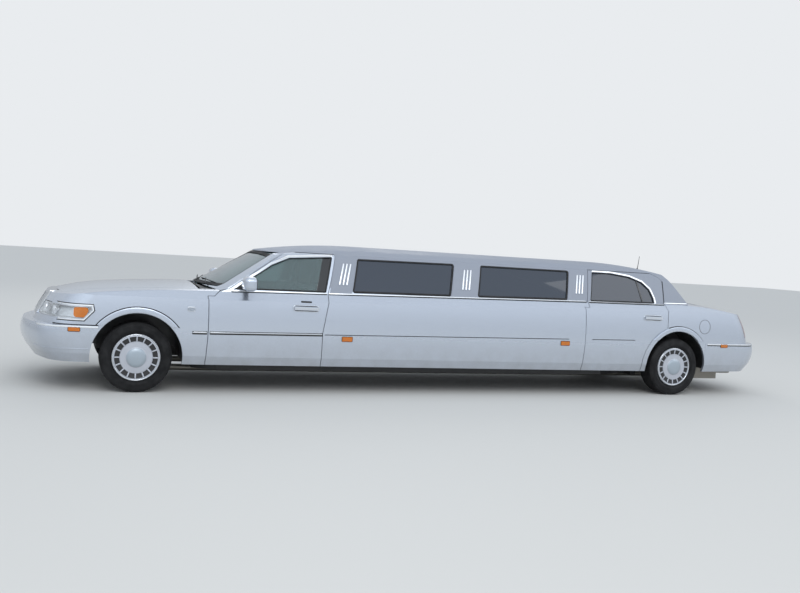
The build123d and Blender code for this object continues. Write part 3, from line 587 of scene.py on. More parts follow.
def stitched_leather(settings):
    """Drum-dyed leather: pores about 1.5 mm apart, drawn at 3 mm, with soft worn patches
    about 20 cm wide."""
    rgb = tuple(settings.leather)
    material, tree, shader = base_material("leather_black", rgb, 0.45, 0.0, coat_weight=0.15,
                                           coat_roughness=0.3)
    place = add_node(tree, "ShaderNodeTexCoord").outputs["Object"]
    pores = add_node(tree, "ShaderNodeTexVoronoi", {"Scale": 330.0}, {"Vector": place})
    add_node(tree, "ShaderNodeBump", {"Strength": 0.4, "Distance": 0.0008},
             {"Height": pores.outputs["Distance"]}, into={"Normal": shader.inputs["Normal"]})
    cloudy(tree, shader, place, 5.0, 5.0, 0.34, 0.56)
    return material


def walnut_veneer():
    """Lacquered walnut: warm brown with a wet shine. Its grain lines run along the car, drawn
    8 mm apart, coarser than real ones, so that they show."""
    material, tree, shader = base_material("veneer_walnut", linear("#4A2A17"), 0.25, 0.0,
                                           coat_weight=0.8, coat_roughness=0.05)
    place = add_node(tree, "ShaderNodeTexCoord").outputs["Object"]
    stretch = add_node(tree, "ShaderNodeMapping", {"Scale": (0.12, 1.0, 1.0)}, {"Vector": place})
    grain = add_node(tree, "ShaderNodeTexWave", {
        "Scale": 40.0, "Distortion": 6.0, "Detail": 3.0, "bands_direction": "Z"},
        {"Vector": stretch.outputs["Vector"]})
    add_node(tree, "ShaderNodeMix", {
        "data_type": "RGBA", 6: (*linear("#2B160B"), 1), 7: (*linear("#6B4126"), 1)},
        {"Factor": grain.outputs["Fac"]}, into={2: shader.inputs["Base Color"]})
    return material


def make_finishes(colours):
    """Fills the table of finishes. What each gives the eye stands above it or in its function."""
    FINISH.update({
        "paint": lacquered_metallic_paint(colours),
        "vinyl": grained_vinyl(colours),
        "dark_glass": tinted_glass("glass_dark_tint", tuple(colours.dark_glass), 0.02, 0.12),
        "pale_glass": tinted_glass("glass_pale_tint", tuple(colours.pale_glass), 0.01, 0.82),
        "chrome": polished_chrome(),
        # Anodised aluminium strip: pale with a broad soft shine
        "bright": polished_chrome("aluminium_bright", "#F0F2F4", 0.3),
        # Vacuum-silvered bowl: bright from every side, with no sharp images in it
        "reflector": polished_chrome("reflector_silvered", "#F2F4F6", 0.34),
        # Silvered float glass: a clear image
        "mirror": polished_chrome("mirror_glass", "#E6EAEE", 0.01),
        # Moulded ABS with an etched grain: dull black
        "black": speckled("abs_black_grained", "#17181A", 0.55),
        # Moulded and polished ABS: black with sharp highlights
        "gloss_black": speckled("abs_black_gloss", "#0D0E10", 0.12, coat_weight=0.6,
                                coat_roughness=0.05, strength=0.02),
        # Extruded rubber: flat black that swallows highlights
        "rubber": speckled("rubber_black", "#141415", 0.7, scale=600.0, strength=0.25),
        # Vulcanised tyre rubber: the darkest and dullest piece, rough to the light
        "tyre": speckled("tyre_rubber", "#070709", 0.82, scale=450.0, strength=0.3, depth=0.0006),
        # Silver lacquer on the cover's rim and spokes: light grey with a wide sheen
        "wheel": speckled("wheel_silver_lacquer", "#B7BAC1", 0.42, 0.45, coat_weight=0.2,
                          coat_roughness=0.3, strength=0.03, spread=0.05),
        # Silver lacquer on the pressed cap: a little darker, smoother and cooler
        "dome": speckled("wheel_dome_lacquer", "#A2ACB4", 0.36, 0.4, coat_weight=0.3,
                         coat_roughness=0.2, strength=0.02, spread=0.04),
        # Aluminised steel pipe dulled by heat: warm grey metal without clear reflections
        "steel": speckled("steel_exhaust", "#8C8880", 0.42, 0.9, scale=200.0, strength=0.1),
        # Sand-cast iron: dark grey with a coarse skin
        "iron": speckled("iron_cast", "#4B4A4A", 0.68, 0.5, scale=350.0, strength=0.5, depth=0.0008),
        # Chassis paint: black with a faint shine
        "frame": speckled("frame_black_paint", "#1D1D1E", 0.5, strength=0.2, coat_weight=0.2),
        # Moulded acrylic, ribbed 6, 12 and 30 mm apart: warm orange, deep red, and nearly unseen
        "amber": ribbed_lens("acrylic_amber", tuple(colours.amber), clear=0.4),
        "red": ribbed_lens("acrylic_red", tuple(colours.red), clear=0.35, pitch=0.012),
        "clear": ribbed_lens("acrylic_clear", linear("#F7F9FA"), rough=0.02, clear=0.97, pitch=0.03),
        "leather": stitched_leather(colours),
        "veneer": walnut_veneer(),
        # Painted aluminium sheet: flat off-white
        "plate": speckled("plate_white", "#D8D9D6", 0.4, strength=0.05, spread=0.04),
    })


SLOT_FINISH = {"paint": "paint", "roof_cover": "vinyl", "clear_glass": "pale_glass",
               "dark_glass": "dark_glass", "lamp": "clear", "tail_lens": "red",
               "amber_lens": "amber", "chrome": "chrome", "frame": "frame", "iron": "iron",
               "steel": "steel", "tyre": "tyre", "wheel": "wheel", "black": "black",
               "leather": "leather", "trim": "veneer"}


def two_tone(node, second, test):
    """Gives the faces of a CAD node that pass a test a second material."""
    mesh = NODES[node].data
    mesh.materials.append(FINISH[second])
    for face in mesh.polygons:
        if test(face, [mesh.vertices[v].co for v in face.vertices]):
            face.material_index = len(mesh.materials) - 1


# Door handles: ends and middle height of the grip
HANDLES = {"front": (1462, 1704, 852), "rear": (5552, 5782, 893)}

# Outlines of the left side's panes and pillar panels as (x, z), of windscreen and rear window as (y, z)
FIXED_WINDOWS = (((2082, 1018), (2160, 1366), (3256, 1374), (3178, 1028)),
                 ((3488, 1032), (3566, 1374), (4672, 1374), (4596, 1046)))
FRONT_WINDOW = ((885, 1006), (1078, 1139), (1262, 1258), (1450, 1337), (1893, 1370), (1806, 1010))
REAR_WINDOW = ((4892, 1046), (4972, 1372), (5215, 1372), (5465, 1343), (5625, 1290), (5716, 1212),
               (5752, 1112), (5757, 1052))
WINDSCREEN = ((-742, 1018), (742, 1018), (574, 1351), (400, 1366), (200, 1376), (-200, 1376),
              (-400, 1366), (-574, 1351))
PILLARS = (((1843, 1003), (2077, 1006), (2155, 1388), (1935, 1388)),
           ((3183, 1020), (3480, 1024), (3561, 1388), (3263, 1388)),
           ((4604, 1040), (4830, 1042), (4905, 1386), (4681, 1388)))
BACKLIGHT = ((-722, 1096), (722, 1096), (551, 1374), (300, 1386), (-300, 1386), (-551, 1374))
REPEATER = 474  # station of the clear lamp on the front wing


def belt_line(x):
    """Height of the window line at a station."""
    return 968 + 0.0133 * x


def over_belt(point):
    """Tells whether a point in metres lies above the window line, by 3 mm or more."""
    return point.z > (belt_line((point.x - FRONT_AXLE) / MM) + 3) * MM


class LIMO_OT_finishes(bpy.types.Operator):
    """Gives every panel of the part its material"""

    bl_idname = "limo.finishes"
    bl_label = "Finishes"

    def execute(self, context):
        make_finishes(context.scene.limo_colours)
        for row in frame["record"]["subparts"]:
            mesh = NODES[row["node"]].data
            mesh.materials.clear()
            mesh.materials.append(FINISH[SLOT_FINISH[row["material_slot"]]])
        for node in ("side_panels", "door_rear_left", "door_rear_right"):
            two_tone(node, "vinyl", lambda face, corners: all(map(over_belt, corners)))
        # The roof's cover begins above the windscreen pillars, which are painted
        windscreen_pillar = at(1450, 0, 1370)
        two_tone("roof", "paint", lambda face, corners: (
            face.center.z < windscreen_pillar.z and face.center.x < windscreen_pillar.x))
        for side, _ in SIDES:
            # The mirror's sail plate, inboard of its head
            two_tone(f"mirror_{side}", "black", lambda face, corners: abs(face.center.y) < 0.952)
            # The grip of each handle, which stands 4 mm or more off the door beside it
            for end, (x0, x1, z) in HANDLES.items():
                level = abs(flank(f"door_{end}_left", x0 - 30, z)[0].y) + 0.004
                two_tone(f"door_{end}_{side}", "chrome", lambda face, corners: (
                    abs(face.center.z - z * MM) < 0.016 and abs(face.center.y) > level
                    and at(x0 - 2, 0, 0).x < face.center.x < at(x1 + 2, 0, 0).x))
        repeater = at(REPEATER, 0, 0).x
        two_tone("side_markers", "clear", lambda face, corners: abs(face.center.x - repeater) < 0.06)
        return {"FINISHED"}


def moulding_line(x):
    """Height of the side moulding at a station."""
    return 585 + 0.01 * (x - 492)


class LIMO_OT_vinyl(bpy.types.Operator):
    """Vinyl sheets on the pillar panels between the windows, from the belt line to the roof"""

    bl_idname = "limo.vinyl"
    bl_label = "Pillar vinyl"

    def execute(self, context):
        for number, points in enumerate(PILLARS, 1):
            sheet = plate(f"pillar_vinyl_{number}_left", points, 0, "side_panels", 0.0015, cell=0.045)
            both(sheet, "vinyl", "body")
        return {"FINISHED"}


class LIMO_OT_window_seals(bpy.types.Operator):
    """Rubber seals round every pane and the bright trim round the door windows"""

    bl_idname = "limo.window_seals"
    bl_label = "Window seals"

    def execute(self, context):
        sizes = context.scene.limo_sizes
        for number, pane in enumerate(FIXED_WINDOWS, 1):
            seal = band(f"window_seal_{number}_left", pane, 25, 0.001, 0.018, "side_glass", 0.009)
            both(seal, "rubber", "body")
        for door, pane, keep in (
                ("front", FRONT_WINDOW, lambda x, z: z > 1016 and x < 1806 + 0.2417 * (z - 1010)),
                ("rear", REAR_WINDOW, lambda x, z: z > 1050 and x > 4892 + 0.2454 * (z - 1046))):
            body = f"door_{door}_left"
            seal = band(f"window_seal_{door}_left", pane, 14, 0.001, 0.012, f"door_glass_{door}_left",
                        0.008)
            both(seal, "rubber", body)
            trim = band(f"window_trim_{door}_left", pane, 14, 0.002, sizes.trim_width, body,
                        sizes.trim_depth, out=True, keep=keep)
            both(trim, "bright", body)
        for name, pane, radius, node, view in (("windscreen_seal", WINDSCREEN, 30, "windscreen", "front"),
                                               ("backlight_seal", BACKLIGHT, 40, "rear_window", "rear")):
            seal = band(name, pane, radius, 0.001, 0.022, node, 0.008, view)
            dress(seal, "rubber", "body")
        mask = plate("pillar_mask_left", ((1708, 1011), (1795, 1361), (1891, 1369), (1804.5, 1011)), 14,
                     "door_glass_front_left", 0.003)
        both(mask, "gloss_black", "door_front_left")
        return {"FINISHED"}


# Lines along the bumpers: name, stations, height, height of the line, node, finish, slot
BUMPER_LINES = (("front_bumper_edge", -880, -350, 604, 15, "front_bumper", "bright", "chrome"),
                ("front_bumper_gap", -740, -350, 622, 9, "front_fenders", "rubber", "black"),
                ("front_bumper_crease", -900, -424, 400, 12, "front_bumper", "paint", "paint"),
                ("rear_bumper_edge", 6470, 7190, 606, 13, "rear_bumper", "bright", "chrome"),
                ("rear_bumper_gap", 6470, 7190, 593, 9, "rear_bumper", "rubber", "black"))

# The left marker lamps on the flank: station, height, length and height of the lens, panel
MARKERS = ((-558, 580, 100, 34, "front_bumper"), (REPEATER, 806, 62, 32, "front_fenders"),
           (2020, 560, 106, 44, "side_panels"), (4530, 578, 106, 44, "side_panels"),
           (6727, 590, 104, 34, "rear_bumper"))

# Left-hand strips under the windows: name, ends as station and height over the window line,
# height of the strip, node and body
BELT_RUNS = (("front_door", (856, 12), (1814, 11), 12, "door_front_left", "door_front_left"),
             ("side", (1834, 10), (4832, 10), 11, "side_panels", "body"),
             ("rear_door", (4864, 8), (5870, 2), 9, "door_rear_left", "door_rear_left"),
             ("pillar", (5894, 16), (6236, 16), 10, "roof", "body"))
ARCH_HEIGHT, ARCH_RADIUS = 335, 417  # middle and edge of the wheel arches

# Rubber mouldings with a bright line: name, ends, node and body
MOULDING_RUNS = (("wing", 492, 630, "front_fenders", "body"),
                 ("front_door", 654, 1760, "door_front_left", "door_front_left"))


class LIMO_OT_side_trim(bpy.types.Operator):
    """Belt strips, side mouldings, wheel arch lips, bumper lines and the bars on the pillar panels"""

    bl_idname = "limo.side_trim"
    bl_label = "Side trim"

    def execute(self, context):
        sizes = context.scene.limo_sizes
        for name, front, rear, tall, node, body in BELT_RUNS:
            ends = [(x, belt_line(x) + rise) for x, rise in (front, rear)]
            piece = strip(f"belt_strip_{name}_left", ends, tall * MM, node, sizes.trim_depth)
            both(piece, "bright", body)
            # Painted shadow: a dark strip right under each bright strip except the pillar's, where that strip
            # casts its shade
            if name != "pillar":
                ends = [(x, z - tall / 2 - 3) for x, z in ends]
                piece = strip(f"belt_rubber_{name}_left", ends, 0.006, node, sizes.trim_depth)
                both(piece, "rubber", body)
        for name, x0, x1, node, body in MOULDING_RUNS:
            tall = sizes.moulding_height
            ends = [(x, moulding_line(x)) for x in (x0, x1)]
            both(strip(f"moulding_{name}_left", ends, tall, node, 0.005), "rubber", body)
            ends = [(x, moulding_line(x) + 4) for x in (x0 + 3, x1 - 3)]
            both(strip(f"moulding_bright_{name}_left", ends, tall * 0.4, node, 0.008), "chrome", body)
        # Painted shadow: a dark strip along the moulding line of the stretch and the rear door, where the ledge
        # there casts its shade
        for name, x0, x1, node, body in (("side", 1784, 4822, "side_panels", "body"),
                                         ("rear_door", 4874, 5440, "door_rear_left", "door_rear_left")):
            ends = [(x, moulding_line(x)) for x in (x0, x1)]
            both(strip(f"groove_{name}_left", ends, 0.007, node, 0.002), "rubber", body)
        seam = strip("pillar_seam_left", ((5893, 1066), (5922, 1312)), 0.006, "roof", 0.003)
        both(seam, "black", "body")

        # Lips of the wheel arches stop level with the bumpers and the moulding. A dark band round each lip's outer
        # edge is painted shade, a shading line; the gap of the rear door runs along its arch and takes its place
        # there.
        for name, x, node, level, line in (
                ("front", 0, "front_fenders", 626, None),
                ("rear", REAR_AXLE, "quarter_panels", 642, lambda u, z: u > 5885)):
            arch = circle(x, ARCH_HEIGHT, ARCH_RADIUS, 72)
            lip = band(f"arch_lip_{name}_left", arch, 0, 0, sizes.lip_width, node, 0.012, out=True,
                       cuts=2, above=level)
            both(lip, "paint", "body")
            edge = band(f"arch_line_{name}_left", arch, 0, sizes.lip_width, 0.009, node, 0.003, out=True,
                        cuts=2, keep=line, above=level)
            both(edge, "rubber", "body")

        # Bright top edge, dark gap line and lower crease of the bumpers
        for name, x0, x1, z, tall, node, finish, slot in BUMPER_LINES:
            piece = strip(f"{name}_left", ((x0, z), (x1, z)), tall * MM, node, 0.004)
            both(piece, finish, "body")

        for panel, top, bottom in ((1, (2045, 1309), (1988, 1092)), (2, (3404, 1316), (3357, 1102)),
                                   (3, (4808, 1330), (4755, 1120))):
            for bar, shift in enumerate((-38, 0, 38), 1):
                ends = [(x + shift, z) for x, z in (top, bottom)]
                piece = seated_bar(f"pillar_bar_{panel}_{bar}_left", "side_panels", *ends,
                                   sizes.bar_width, 0.012)
                both(piece, "bright", "body")
        return {"FINISHED"}


class LIMO_OT_lamps(bpy.types.Operator):
    """Headlamps with lens, bezel and silvered bowls, amber corners, tail lamps and marker rings"""

    bl_idname = "limo.lamps"
    bl_label = "Lamps"

    def execute(self, context):
        def outside(way):
            return lambda p: p.normal.x * way + p.normal.y * (1 if p.center.y > 0 else -1) > 0.45

        ahead, behind = outside(-1), outside(1)
        for name, node, test in (("headlamp", "headlamps", ahead), ("tail_lamp", "tail_lamps", behind)):
            bowl = shell_of(node, f"{name}_bowl", lambda p, t=test: not t(p), 0.002)
            dress(bowl, "reflector", "body")
            bezel = shell_of(node, f"{name}_bezel", test, 0.006, 0.007, 0.2)
            dress(bezel, "chrome", "body", 50)
        # Amber lens in the outer corner of the headlamp
        corner = ((-566, 690), (-462, 690), (-428, 782), (-566, 782))
        lens = plate("corner_lens_left", corner, 26, "headlamps", 0.003, cell=0.02)
        both(lens, "amber", "body")
        for name, node, test, finish, slot in (("headlamp_lens", "headlamps", ahead, "clear", "lamp"),
                                               ("tail_lens", "tail_lamps", behind, "red", "tail_lens")):
            lens = shell_of(node, name, test, 0.004)
            dress(lens, finish, "body")
            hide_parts(node)
        around = ((-690, 676), (-480, 676), (-404, 760), (-412, 794), (-690, 794))
        for name, start, width, finish, slot in (("headlamp_rim_left", 0.0015, 0.012, "bright", "chrome"),
                                                 ("headlamp_line_left", 0.0135, 0.008, "rubber", "black")):
            rim = band(name, around, 0, start, width, "front_fenders", 0.004, out=True, cuts=4,
                       keep=lambda x, z: x > -689)
            both(rim, finish, "body")

        # Two silvered dishes with a shaded bulb stand in each headlamp
        dish = [(6, 0), (6, 16), (11, 18), (30, 9), (46, -14), (48, -14), (48, -9), (32, 14), (12, 24),
                (0.5, 26), (0.5, -4)]
        for number, (x, y, turn) in enumerate(((-782, -458, -14), (-704, -618, -34)), 1):
            obj = lathe(f"headlamp_dish_{number}_left", dish, 48)
            turned = Matrix.Rotation(radians(turn - 90), 4, "Z")
            obj.matrix_world = Matrix.Translation(at(x, y, 736)) @ turned
            both(settle(obj), "reflector", "body")

        for number, (x, z, long, tall, node) in enumerate(MARKERS, 1):
            a, b = long / 2, tall / 2
            points = ((x - a, z - b), (x + a, z - b), (x + a, z + b), (x - a, z + b))
            ring = band(f"marker_ring_{number}_left", points, 6, 0, 0.005, node, 0.004, out=True, cuts=2)
            both(ring, "chrome" if number == 2 else "rubber", "body")
        return {"FINISHED"}


def half_moon(points, z, way):
    """Part of an outline above a level (way 1) or below it (way -1), in order."""
    inside = [(p[1] - z) * way > 0 for p in points]
    first = next(i for i in range(len(points)) if inside[i] and not inside[i - 1])
    turned = points[first:] + points[:first]
    return [(p[0], p[1]) for p in turned if (p[1] - z) * way > 0]


class LIMO_OT_fittings(bpy.types.Operator):
    """Handle frames, keypad, mirrors, wipers, fuel door, rear plate and the rear windows' bars"""

    bl_idname = "limo.fittings"
    bl_label = "Fittings"

    def execute(self, context):
        for end, (x0, x1, z) in HANDLES.items():
            node = f"door_{end}_left"
            oval = ((x0 - 12, z - 32), (x1 + 12, z - 32), (x1 + 12, z + 32), (x0 - 12, z + 32))
            ring = band(f"handle_frame_{end}_left", oval, 30, 0, 0.006, node, 0.006, cuts=2)
            both(ring, "chrome", node, 50)
            # Black plates above and below each grip are painted shade, standing in for the shade inside the
            # handle's recess
            for name, level, way in (("upper", z + 16, 1), ("lower", z - 16, -1)):
                inner = [(x + (5 if x < x1 else -5), h) for x, h in oval]
                points = half_moon(rounded(inner, 29, 8), level, way)
                recess_shade = plate(f"handle_recess_{name}_{end}_left", points, 0, node, 0.002)
                both(recess_shade, "gloss_black", node)
        # A plain pad in the place of the keypad
        pad = plate("keypad_left", ((1528, 908), (1638, 908), (1638, 924), (1528, 924)), 6,
                    "door_front_left", 0.003)
        dress(pad, "gloss_black", "door_front_left")

        # Mirror glass looks back, in a black rim
        corners = ((-1112, 1030), (-982, 1030), (-982, 1114), (-1112, 1114))
        glass = plate("mirror_glass_left", corners, 24, "mirror_left", 0.003, "rear", 0.02)
        both(glass, "mirror", "door_front_left")
        rim = band("mirror_rim_left", corners, 24, 0, 0.006, "mirror_left", 0.004, "rear", out=True, cuts=1)
        both(rim, "black", "door_front_left")

        # Wipers rest on the lower edge of the windscreen
        for number, (foot_y, tip_y) in enumerate(((-560, -20), (60, 600)), 1):
            ends = []
            for y, z in ((foot_y, 1040), (tip_y, 1058), ((foot_y + tip_y) / 2, 1050)):
                hit, place, normal, _ = NODES["windscreen"].ray_cast(at(-300, y, z), Vector((1, 0, 0)))
                if not hit:
                    raise RuntimeError(f"no windscreen at {y}, {z}")
                ends.append((place, normal))
            (foot, out), (tip, _), (middle, _) = ends
            blade = bar_between(f"wiper_blade_{number}", foot, tip, out, 0.008, 0.014, 0.008)
            dress(blade, "rubber", "body")
            arm = bar_between(f"wiper_arm_{number}", at(652, foot_y - 40, 1030), middle + out * 0.02, out,
                              0.012, 0.009, 0.012)
            dress(arm, "black", "body")

        door = circle(6415, 812, 84, 48)
        line = band("fuel_door_line_left", door, 0, 0, 0.004, "quarter_panels", 0.0012, cuts=0)
        dress(line, "rubber", "body")
        bar = seated_bar("window_bar_left", "door_glass_rear_left", (5560, 1305), (5600, 1060), 0.022,
                         0.008)
        both(bar, "gloss_black", "door_rear_left")

        # The number plate place stays blank
        corners = ((-260, 742), (260, 742), (260, 852), (-260, 852))
        sheet = plate("plate_rear", corners, 12, "trunk_lid", 0.004, "rear")
        dress(sheet, "plate", "boot_lid")
        edge = band("plate_frame_rear", corners, 12, 0.0, 0.012, "trunk_lid", 0.007, "rear", out=True,
                    cuts=2)
        dress(edge, "chrome", "boot_lid")
        return {"FINISHED"}


# Seats: name, node, voxel of its padding, test that picks its solid
BENCH_REAR = at(5632, 0, 0).x
SEATS = (("seat_front_left", "front_seats", 0.012, lambda p: p.y < 0),
         ("seat_front_right", "front_seats", 0.012, lambda p: p.y > 0),
         ("seat_cabin_side", "cabin_seats", 0.018, lambda p: p.x < at(4700, 0, 0).x),
         ("seat_cabin_base", "cabin_seats", 0.015, lambda p: at(4900, 0, 0).x < p.x < BENCH_REAR),
         ("seat_cabin_back", "cabin_seats", 0.015, lambda p: p.x > BENCH_REAR))


CLOTH_STEPS, SWELL = 20, 0.014  # frames of the simulation, and how far a point may move
CHANNEL_SPACING, CHANNEL_HALF_WIDTH, CHANNEL_DEPTH = 0.11, 0.012, 0.008


def swollen(pads):
    """Swells closed pads like filled cloth, at once, and keeps each point near its start."""
    starts = []
    for obj in pads:
        starts.append([v.co.copy() for v in obj.data.vertices])
        activate(obj)
        modifier = obj.modifiers.new("Cloth", "CLOTH")
        modifier.settings.use_pressure = True
        modifier.settings.uniform_pressure_force = 4
        modifier.settings.effector_weights.gravity = 0
        modifier.settings.quality = 4
        modifier.collision_settings.use_collision = False
        modifier.point_cache.frame_start = 1
        modifier.point_cache.frame_end = CLOTH_STEPS
    for step in range(1, CLOTH_STEPS + 1):
        bpy.context.scene.frame_set(step)
    for obj, before in zip(pads, starts):
        activate(obj)
        bpy.ops.object.modifier_apply(modifier="Cloth")
        floor = min(c.z for c in before)
        for vertex, start in zip(obj.data.vertices, before):
            move = vertex.co - start
            if move.length > SWELL:
                vertex.co = start + move.normalized() * SWELL
            vertex.co.z = max(vertex.co.z, floor)
    bpy.context.scene.frame_set(1)


class LIMO_OT_seats(bpy.types.Operator):
    """Padded leather seats with sewn channels in place of the plain ones"""

    bl_idname = "limo.seats"
    bl_label = "Seats"

    def execute(self, context):
        pads = []
        for name, node, voxel, pick in SEATS:
            seat = skin_of(node, name, lambda p: pick(p.center))
            # Each pad starts 30 mm smaller, because the cloth swells
            middle = (Vector(seat.bound_box[0]) + Vector(seat.bound_box[6])) / 2
            smaller = Matrix.Diagonal([1 - 0.030 / size for size in seat.dimensions] + [1])
            seat.data.transform(Matrix.Translation(middle) @ smaller @ Matrix.Translation(-middle))
            modified(seat, "BEVEL", width=0.035, segments=3, limit_method="ANGLE", angle_limit=radians(30))
            modified(seat, "REMESH", mode="VOXEL", voxel_size=voxel)
            pads.append(seat)
        swollen(pads)
        for seat, (_, node, _, _) in zip(pads, SEATS):
            # Sewn channels run side by side from the cushion's front to the top of the backrest
            lengthwise = seat.dimensions.x > 1
            modified(seat, "SUBSURF", levels=1)
            low = min(v.co.x if lengthwise else v.co.y for v in seat.data.vertices)
            span = seat.dimensions.x if lengthwise else seat.dimensions.y
            count = round(span / CHANNEL_SPACING)
            for vertex, normal in zip(seat.data.vertices, [v.normal.copy() for v in seat.data.vertices]):
                along = ((vertex.co.x if lengthwise else vertex.co.y) - low) / span * count
                off = abs(along - round(along)) * span / count
                edge = abs(normal.x if lengthwise else normal.y)
                if edge < 0.75 and 0.5 < along < count - 0.5:
                    vertex.co -= normal * CHANNEL_DEPTH * max(0.0, 1 - off / CHANNEL_HALF_WIDTH) ** 2
            dress(seat, "leather", "body", 60)
            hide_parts(node)
        return {"FINISHED"}


TYRE_RADIUS, SPOKES = 330, 16
WHEELS = [(f"{end}_{side}", s) for end in ("front", "rear") for side, s in SIDES]


def on_wheels(piece, finish, replaced=None):
    """Puts a piece made about the origin, outboard side to -Y, on all four wheels."""
    smooth(piece, 32)
    piece.data.materials.append(FINISH[finish])
    for name, s in WHEELS:
        twin = copied(piece, f"{piece.name}_{name}")
        place = Matrix.Translation(PIVOTS[f"wheel_{name}_spin"])
        if s > 0:
            place = place @ Matrix.Scale(-1, 4, (0, 1, 0))
            twin.data.flip_normals()
        twin.data.transform(place)
        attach(twin, f"wheel_{name}")
        if replaced:
            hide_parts(f"{replaced}_{name}")
    bpy.data.objects.remove(piece)


class LIMO_OT_wheels(bpy.types.Operator):
    """Tyres with tread, bright rims, dark backs behind the slots and plain centre caps"""

    bl_idname = "limo.wheels"
    bl_label = "Wheels and tyres"

    def execute(self, context):
        depth = context.scene.limo_sizes.tread_depth
        base = TYRE_RADIUS - depth / MM
        # Half of the tyre's section from bead to crown, as radius and distance from its middle plane
        half = [(204, 88), (224, 91), (229, 97), (250, 107), (254, 111), (268, 112), (272, 110.5),
                (296, 110), (308, 107), (base - 4, 96), (base, 79), (base, 48), (base, 16)]
        tyre = lathe("tyre", [*half, *[(r, -y) for r, y in reversed(half)]], 96)
        edit(tyre, "FACE", lambda p: Vector((p.center.x, p.center.z)).length > (base - 6) * MM,
             (bpy.ops.mesh.inset, {"thickness": 0.0022, "depth": depth * 0.96, "use_individual": True}))
        on_wheels(tyre, "tyre", "tyre")
        edge = [(213 + 6 * cos(a * pi / 6), -102 - 6 * sin(a * pi / 6)) for a in range(12)]
        on_wheels(lathe("wheel_rim_bead", edge, 96), "chrome")
        back = [(152, -98.6), (197, -106), (197, -96), (152, -90)]
        on_wheels(lathe("wheel_slot_ring", back, 64), "frame")
        spoke = bar_between("wheel_spokes", Vector((0, -0.0985, 0.149)), Vector((0, -0.1065, 0.200)),
                            Vector((0, -1, 0)), 0.013, 0.008, 0.001)
        on_wheels(ring_of(spoke, SPOKES), "wheel")
        dome = [(0.5, -127), (30, -126.4), (58, -124), (78, -119.5), (89, -113), (92, -107), (92, -104),
                (0.5, -104)]
        on_wheels(lathe("wheel_dome", dome, 64), "dome")
        return {"FINISHED"}


# The camera fitted to the photograph: its width and focal length in pixels, place and turn
PHOTO_WIDTH, FOCAL_PIXELS = 800, 903
CAMERA_PLACE = (-704, -9595, 1492)
CAMERA_TURN = (20.75, -2.98, 3.66)  # yaw, pitch and roll in degrees
SENSOR_WIDTH = 36
MIRRORED_SHARE = 0.3  # part of the plain background in what metal and glass mirror


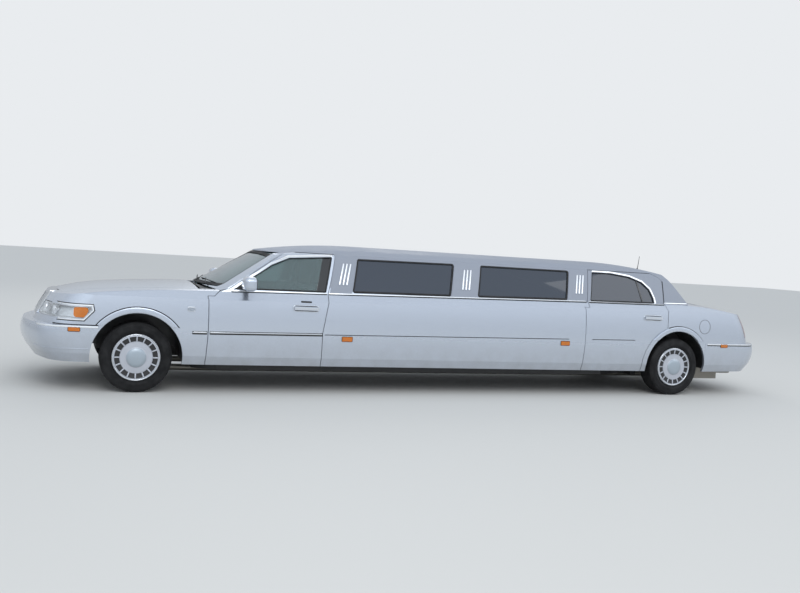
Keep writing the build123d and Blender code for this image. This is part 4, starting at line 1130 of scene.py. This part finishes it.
class LIMO_OT_stage(bpy.types.Operator):
    """Sets up the camera, the lamps and the pale floor"""

    bl_idname = "limo.stage"
    bl_label = "Stage"

    def execute(self, context):
        scene = context.scene
        scene.view_settings.view_transform = "Standard"
        floor = added(bpy.ops.mesh.primitive_plane_add, "stage_floor", size=1,
                      location=(0, 0, -0.001))
        floor.scale = (120, 120, 1)
        settle(floor)
        # Plain matt floor that takes soft shadows
        pale = base_material("stage_floor_pale", tuple(scene.limo_colours.floor), 0.7)[0]
        floor.data.materials.append(pale)

        world = bpy.data.worlds.new("studio")
        scene.world = world
        world.use_nodes = True
        tree = world.node_tree
        tree.nodes.clear()
        path = add_node(tree, "ShaderNodeLightPath")
        glossy = add_node(tree, "ShaderNodeMath", {"operation": "ADD", "use_clamp": True},
                          {0: path.outputs["Is Glossy Ray"], 1: path.outputs["Is Transmission Ray"]})
        # The camera sees the plain background, metal and glass mostly the studio's brighter sides
        mirrored = add_node(tree, "ShaderNodeMath", {"operation": "MULTIPLY", 1: MIRRORED_SHARE},
                            {0: glossy.outputs["Value"]})
        seen = add_node(tree, "ShaderNodeMath", {"operation": "ADD", "use_clamp": True},
                        {0: path.outputs["Is Camera Ray"], 1: mirrored.outputs["Value"]})
        plain = add_node(tree, "ShaderNodeBackground", {"Color": (*linear("#E9ECEF"), 1), "Strength": 1.0})
        place = add_node(tree, "ShaderNodeTexCoord").outputs["Generated"]
        up = add_node(tree, "ShaderNodeSeparateXYZ", None, {"Vector": place})
        ramp = add_node(tree, "ShaderNodeMapRange", {
            "From Min": -0.05, "From Max": 0.35, "To Min": 0.35, "To Max": 1.0},
            {"Value": up.outputs["Z"]})
        # The side towards the camera is the brighter one
        wall = add_node(tree, "ShaderNodeMapRange", {
            "From Min": 0.5, "From Max": -0.9, "To Min": 0.75, "To Max": 1.7}, {"Value": up.outputs["Y"]})
        strength = add_node(tree, "ShaderNodeMath", {"operation": "MULTIPLY"},
                            {0: ramp.outputs["Result"], 1: wall.outputs["Result"]})
        sky = add_node(tree, "ShaderNodeBackground", {"Color": (*linear("#E2EBF6"), 1)},
                       {"Strength": strength.outputs["Value"]})
        mix = add_node(tree, "ShaderNodeMixShader", None,
                       {0: seen.outputs["Value"], 1: sky.outputs["Background"],
                        2: plain.outputs["Background"]})
        add_node(tree, "ShaderNodeOutputWorld", None, {"Surface": mix.outputs["Shader"]})

        # Area lamps: name, place, length of a side in metres, power in watts
        for name, place, size, power in (("key", (-3, -12, 9), 6, 420), ("fill", (9, -6, 6), 5, 90),
                                         ("rim", (2, 10, 8), 7, 200)):
            lamp = bpy.data.objects.new(f"lamp_{name}", bpy.data.lights.new(name, "AREA"))
            lamp.data.size = size
            lamp.data.energy = power
            lamp.location = place
            lamp.rotation_euler = (-Vector(place)).to_track_quat("-Z", "Y").to_euler()
            scene.collection.objects.link(lamp)

        # The camera stands where the photographer did, a little tilted
        camera = bpy.data.objects.new("camera", bpy.data.cameras.new("camera"))
        camera.data.sensor_width = SENSOR_WIDTH
        camera.data.lens = SENSOR_WIDTH * FOCAL_PIXELS / PHOTO_WIDTH
        camera.location = at(*CAMERA_PLACE)
        yaw, pitch, roll = [radians(angle) for angle in CAMERA_TURN]
        ahead = Vector((sin(yaw) * cos(pitch), cos(yaw) * cos(pitch), sin(pitch)))
        level = Vector((cos(yaw), -sin(yaw), 0))
        up = level.cross(ahead)
        right = level * cos(roll) + up * sin(roll)
        top = -level * sin(roll) + up * cos(roll)
        camera.rotation_euler = Matrix((right, top, -ahead)).transposed().to_euler()
        scene.collection.objects.link(camera)
        scene.camera = camera
        return {"FINISHED"}


OPERATORS = (LIMO_OT_finishes, LIMO_OT_vinyl, LIMO_OT_window_seals, LIMO_OT_side_trim, LIMO_OT_lamps,
             LIMO_OT_fittings, LIMO_OT_seats, LIMO_OT_wheels, LIMO_OT_stage)
GROUPS = (LimoColours, LimoSizes)


class LIMO_PT_panel(bpy.types.Panel):
    """Lists the dressing steps in the sidebar"""

    bl_idname = "LIMO_PT_panel"
    bl_label = "Limousine"
    bl_space_type = "VIEW_3D"
    bl_region_type = "UI"
    bl_category = "Limousine"

    def draw(self, context):
        for group in (context.scene.limo_colours, context.scene.limo_sizes):
            for key in group.__annotations__:
                self.layout.prop(group, key)
        for step in OPERATORS:
            self.layout.operator(step.bl_idname)


def register():
    for item in (*GROUPS, *OPERATORS, LIMO_PT_panel):
        bpy.utils.register_class(item)
    bpy.types.Scene.limo_colours = bpy.props.PointerProperty(type=LimoColours)
    bpy.types.Scene.limo_sizes = bpy.props.PointerProperty(type=LimoSizes)


def unregister():
    del bpy.types.Scene.limo_sizes
    del bpy.types.Scene.limo_colours
    for item in (LIMO_PT_panel, *reversed(OPERATORS), *reversed(GROUPS)):
        bpy.utils.unregister_class(item)


def main():
    register()
    for step in OPERATORS:
        group, name = step.bl_idname.split(".")
        getattr(getattr(bpy.ops, group), name)()


if __name__ == "__main__":
    main()
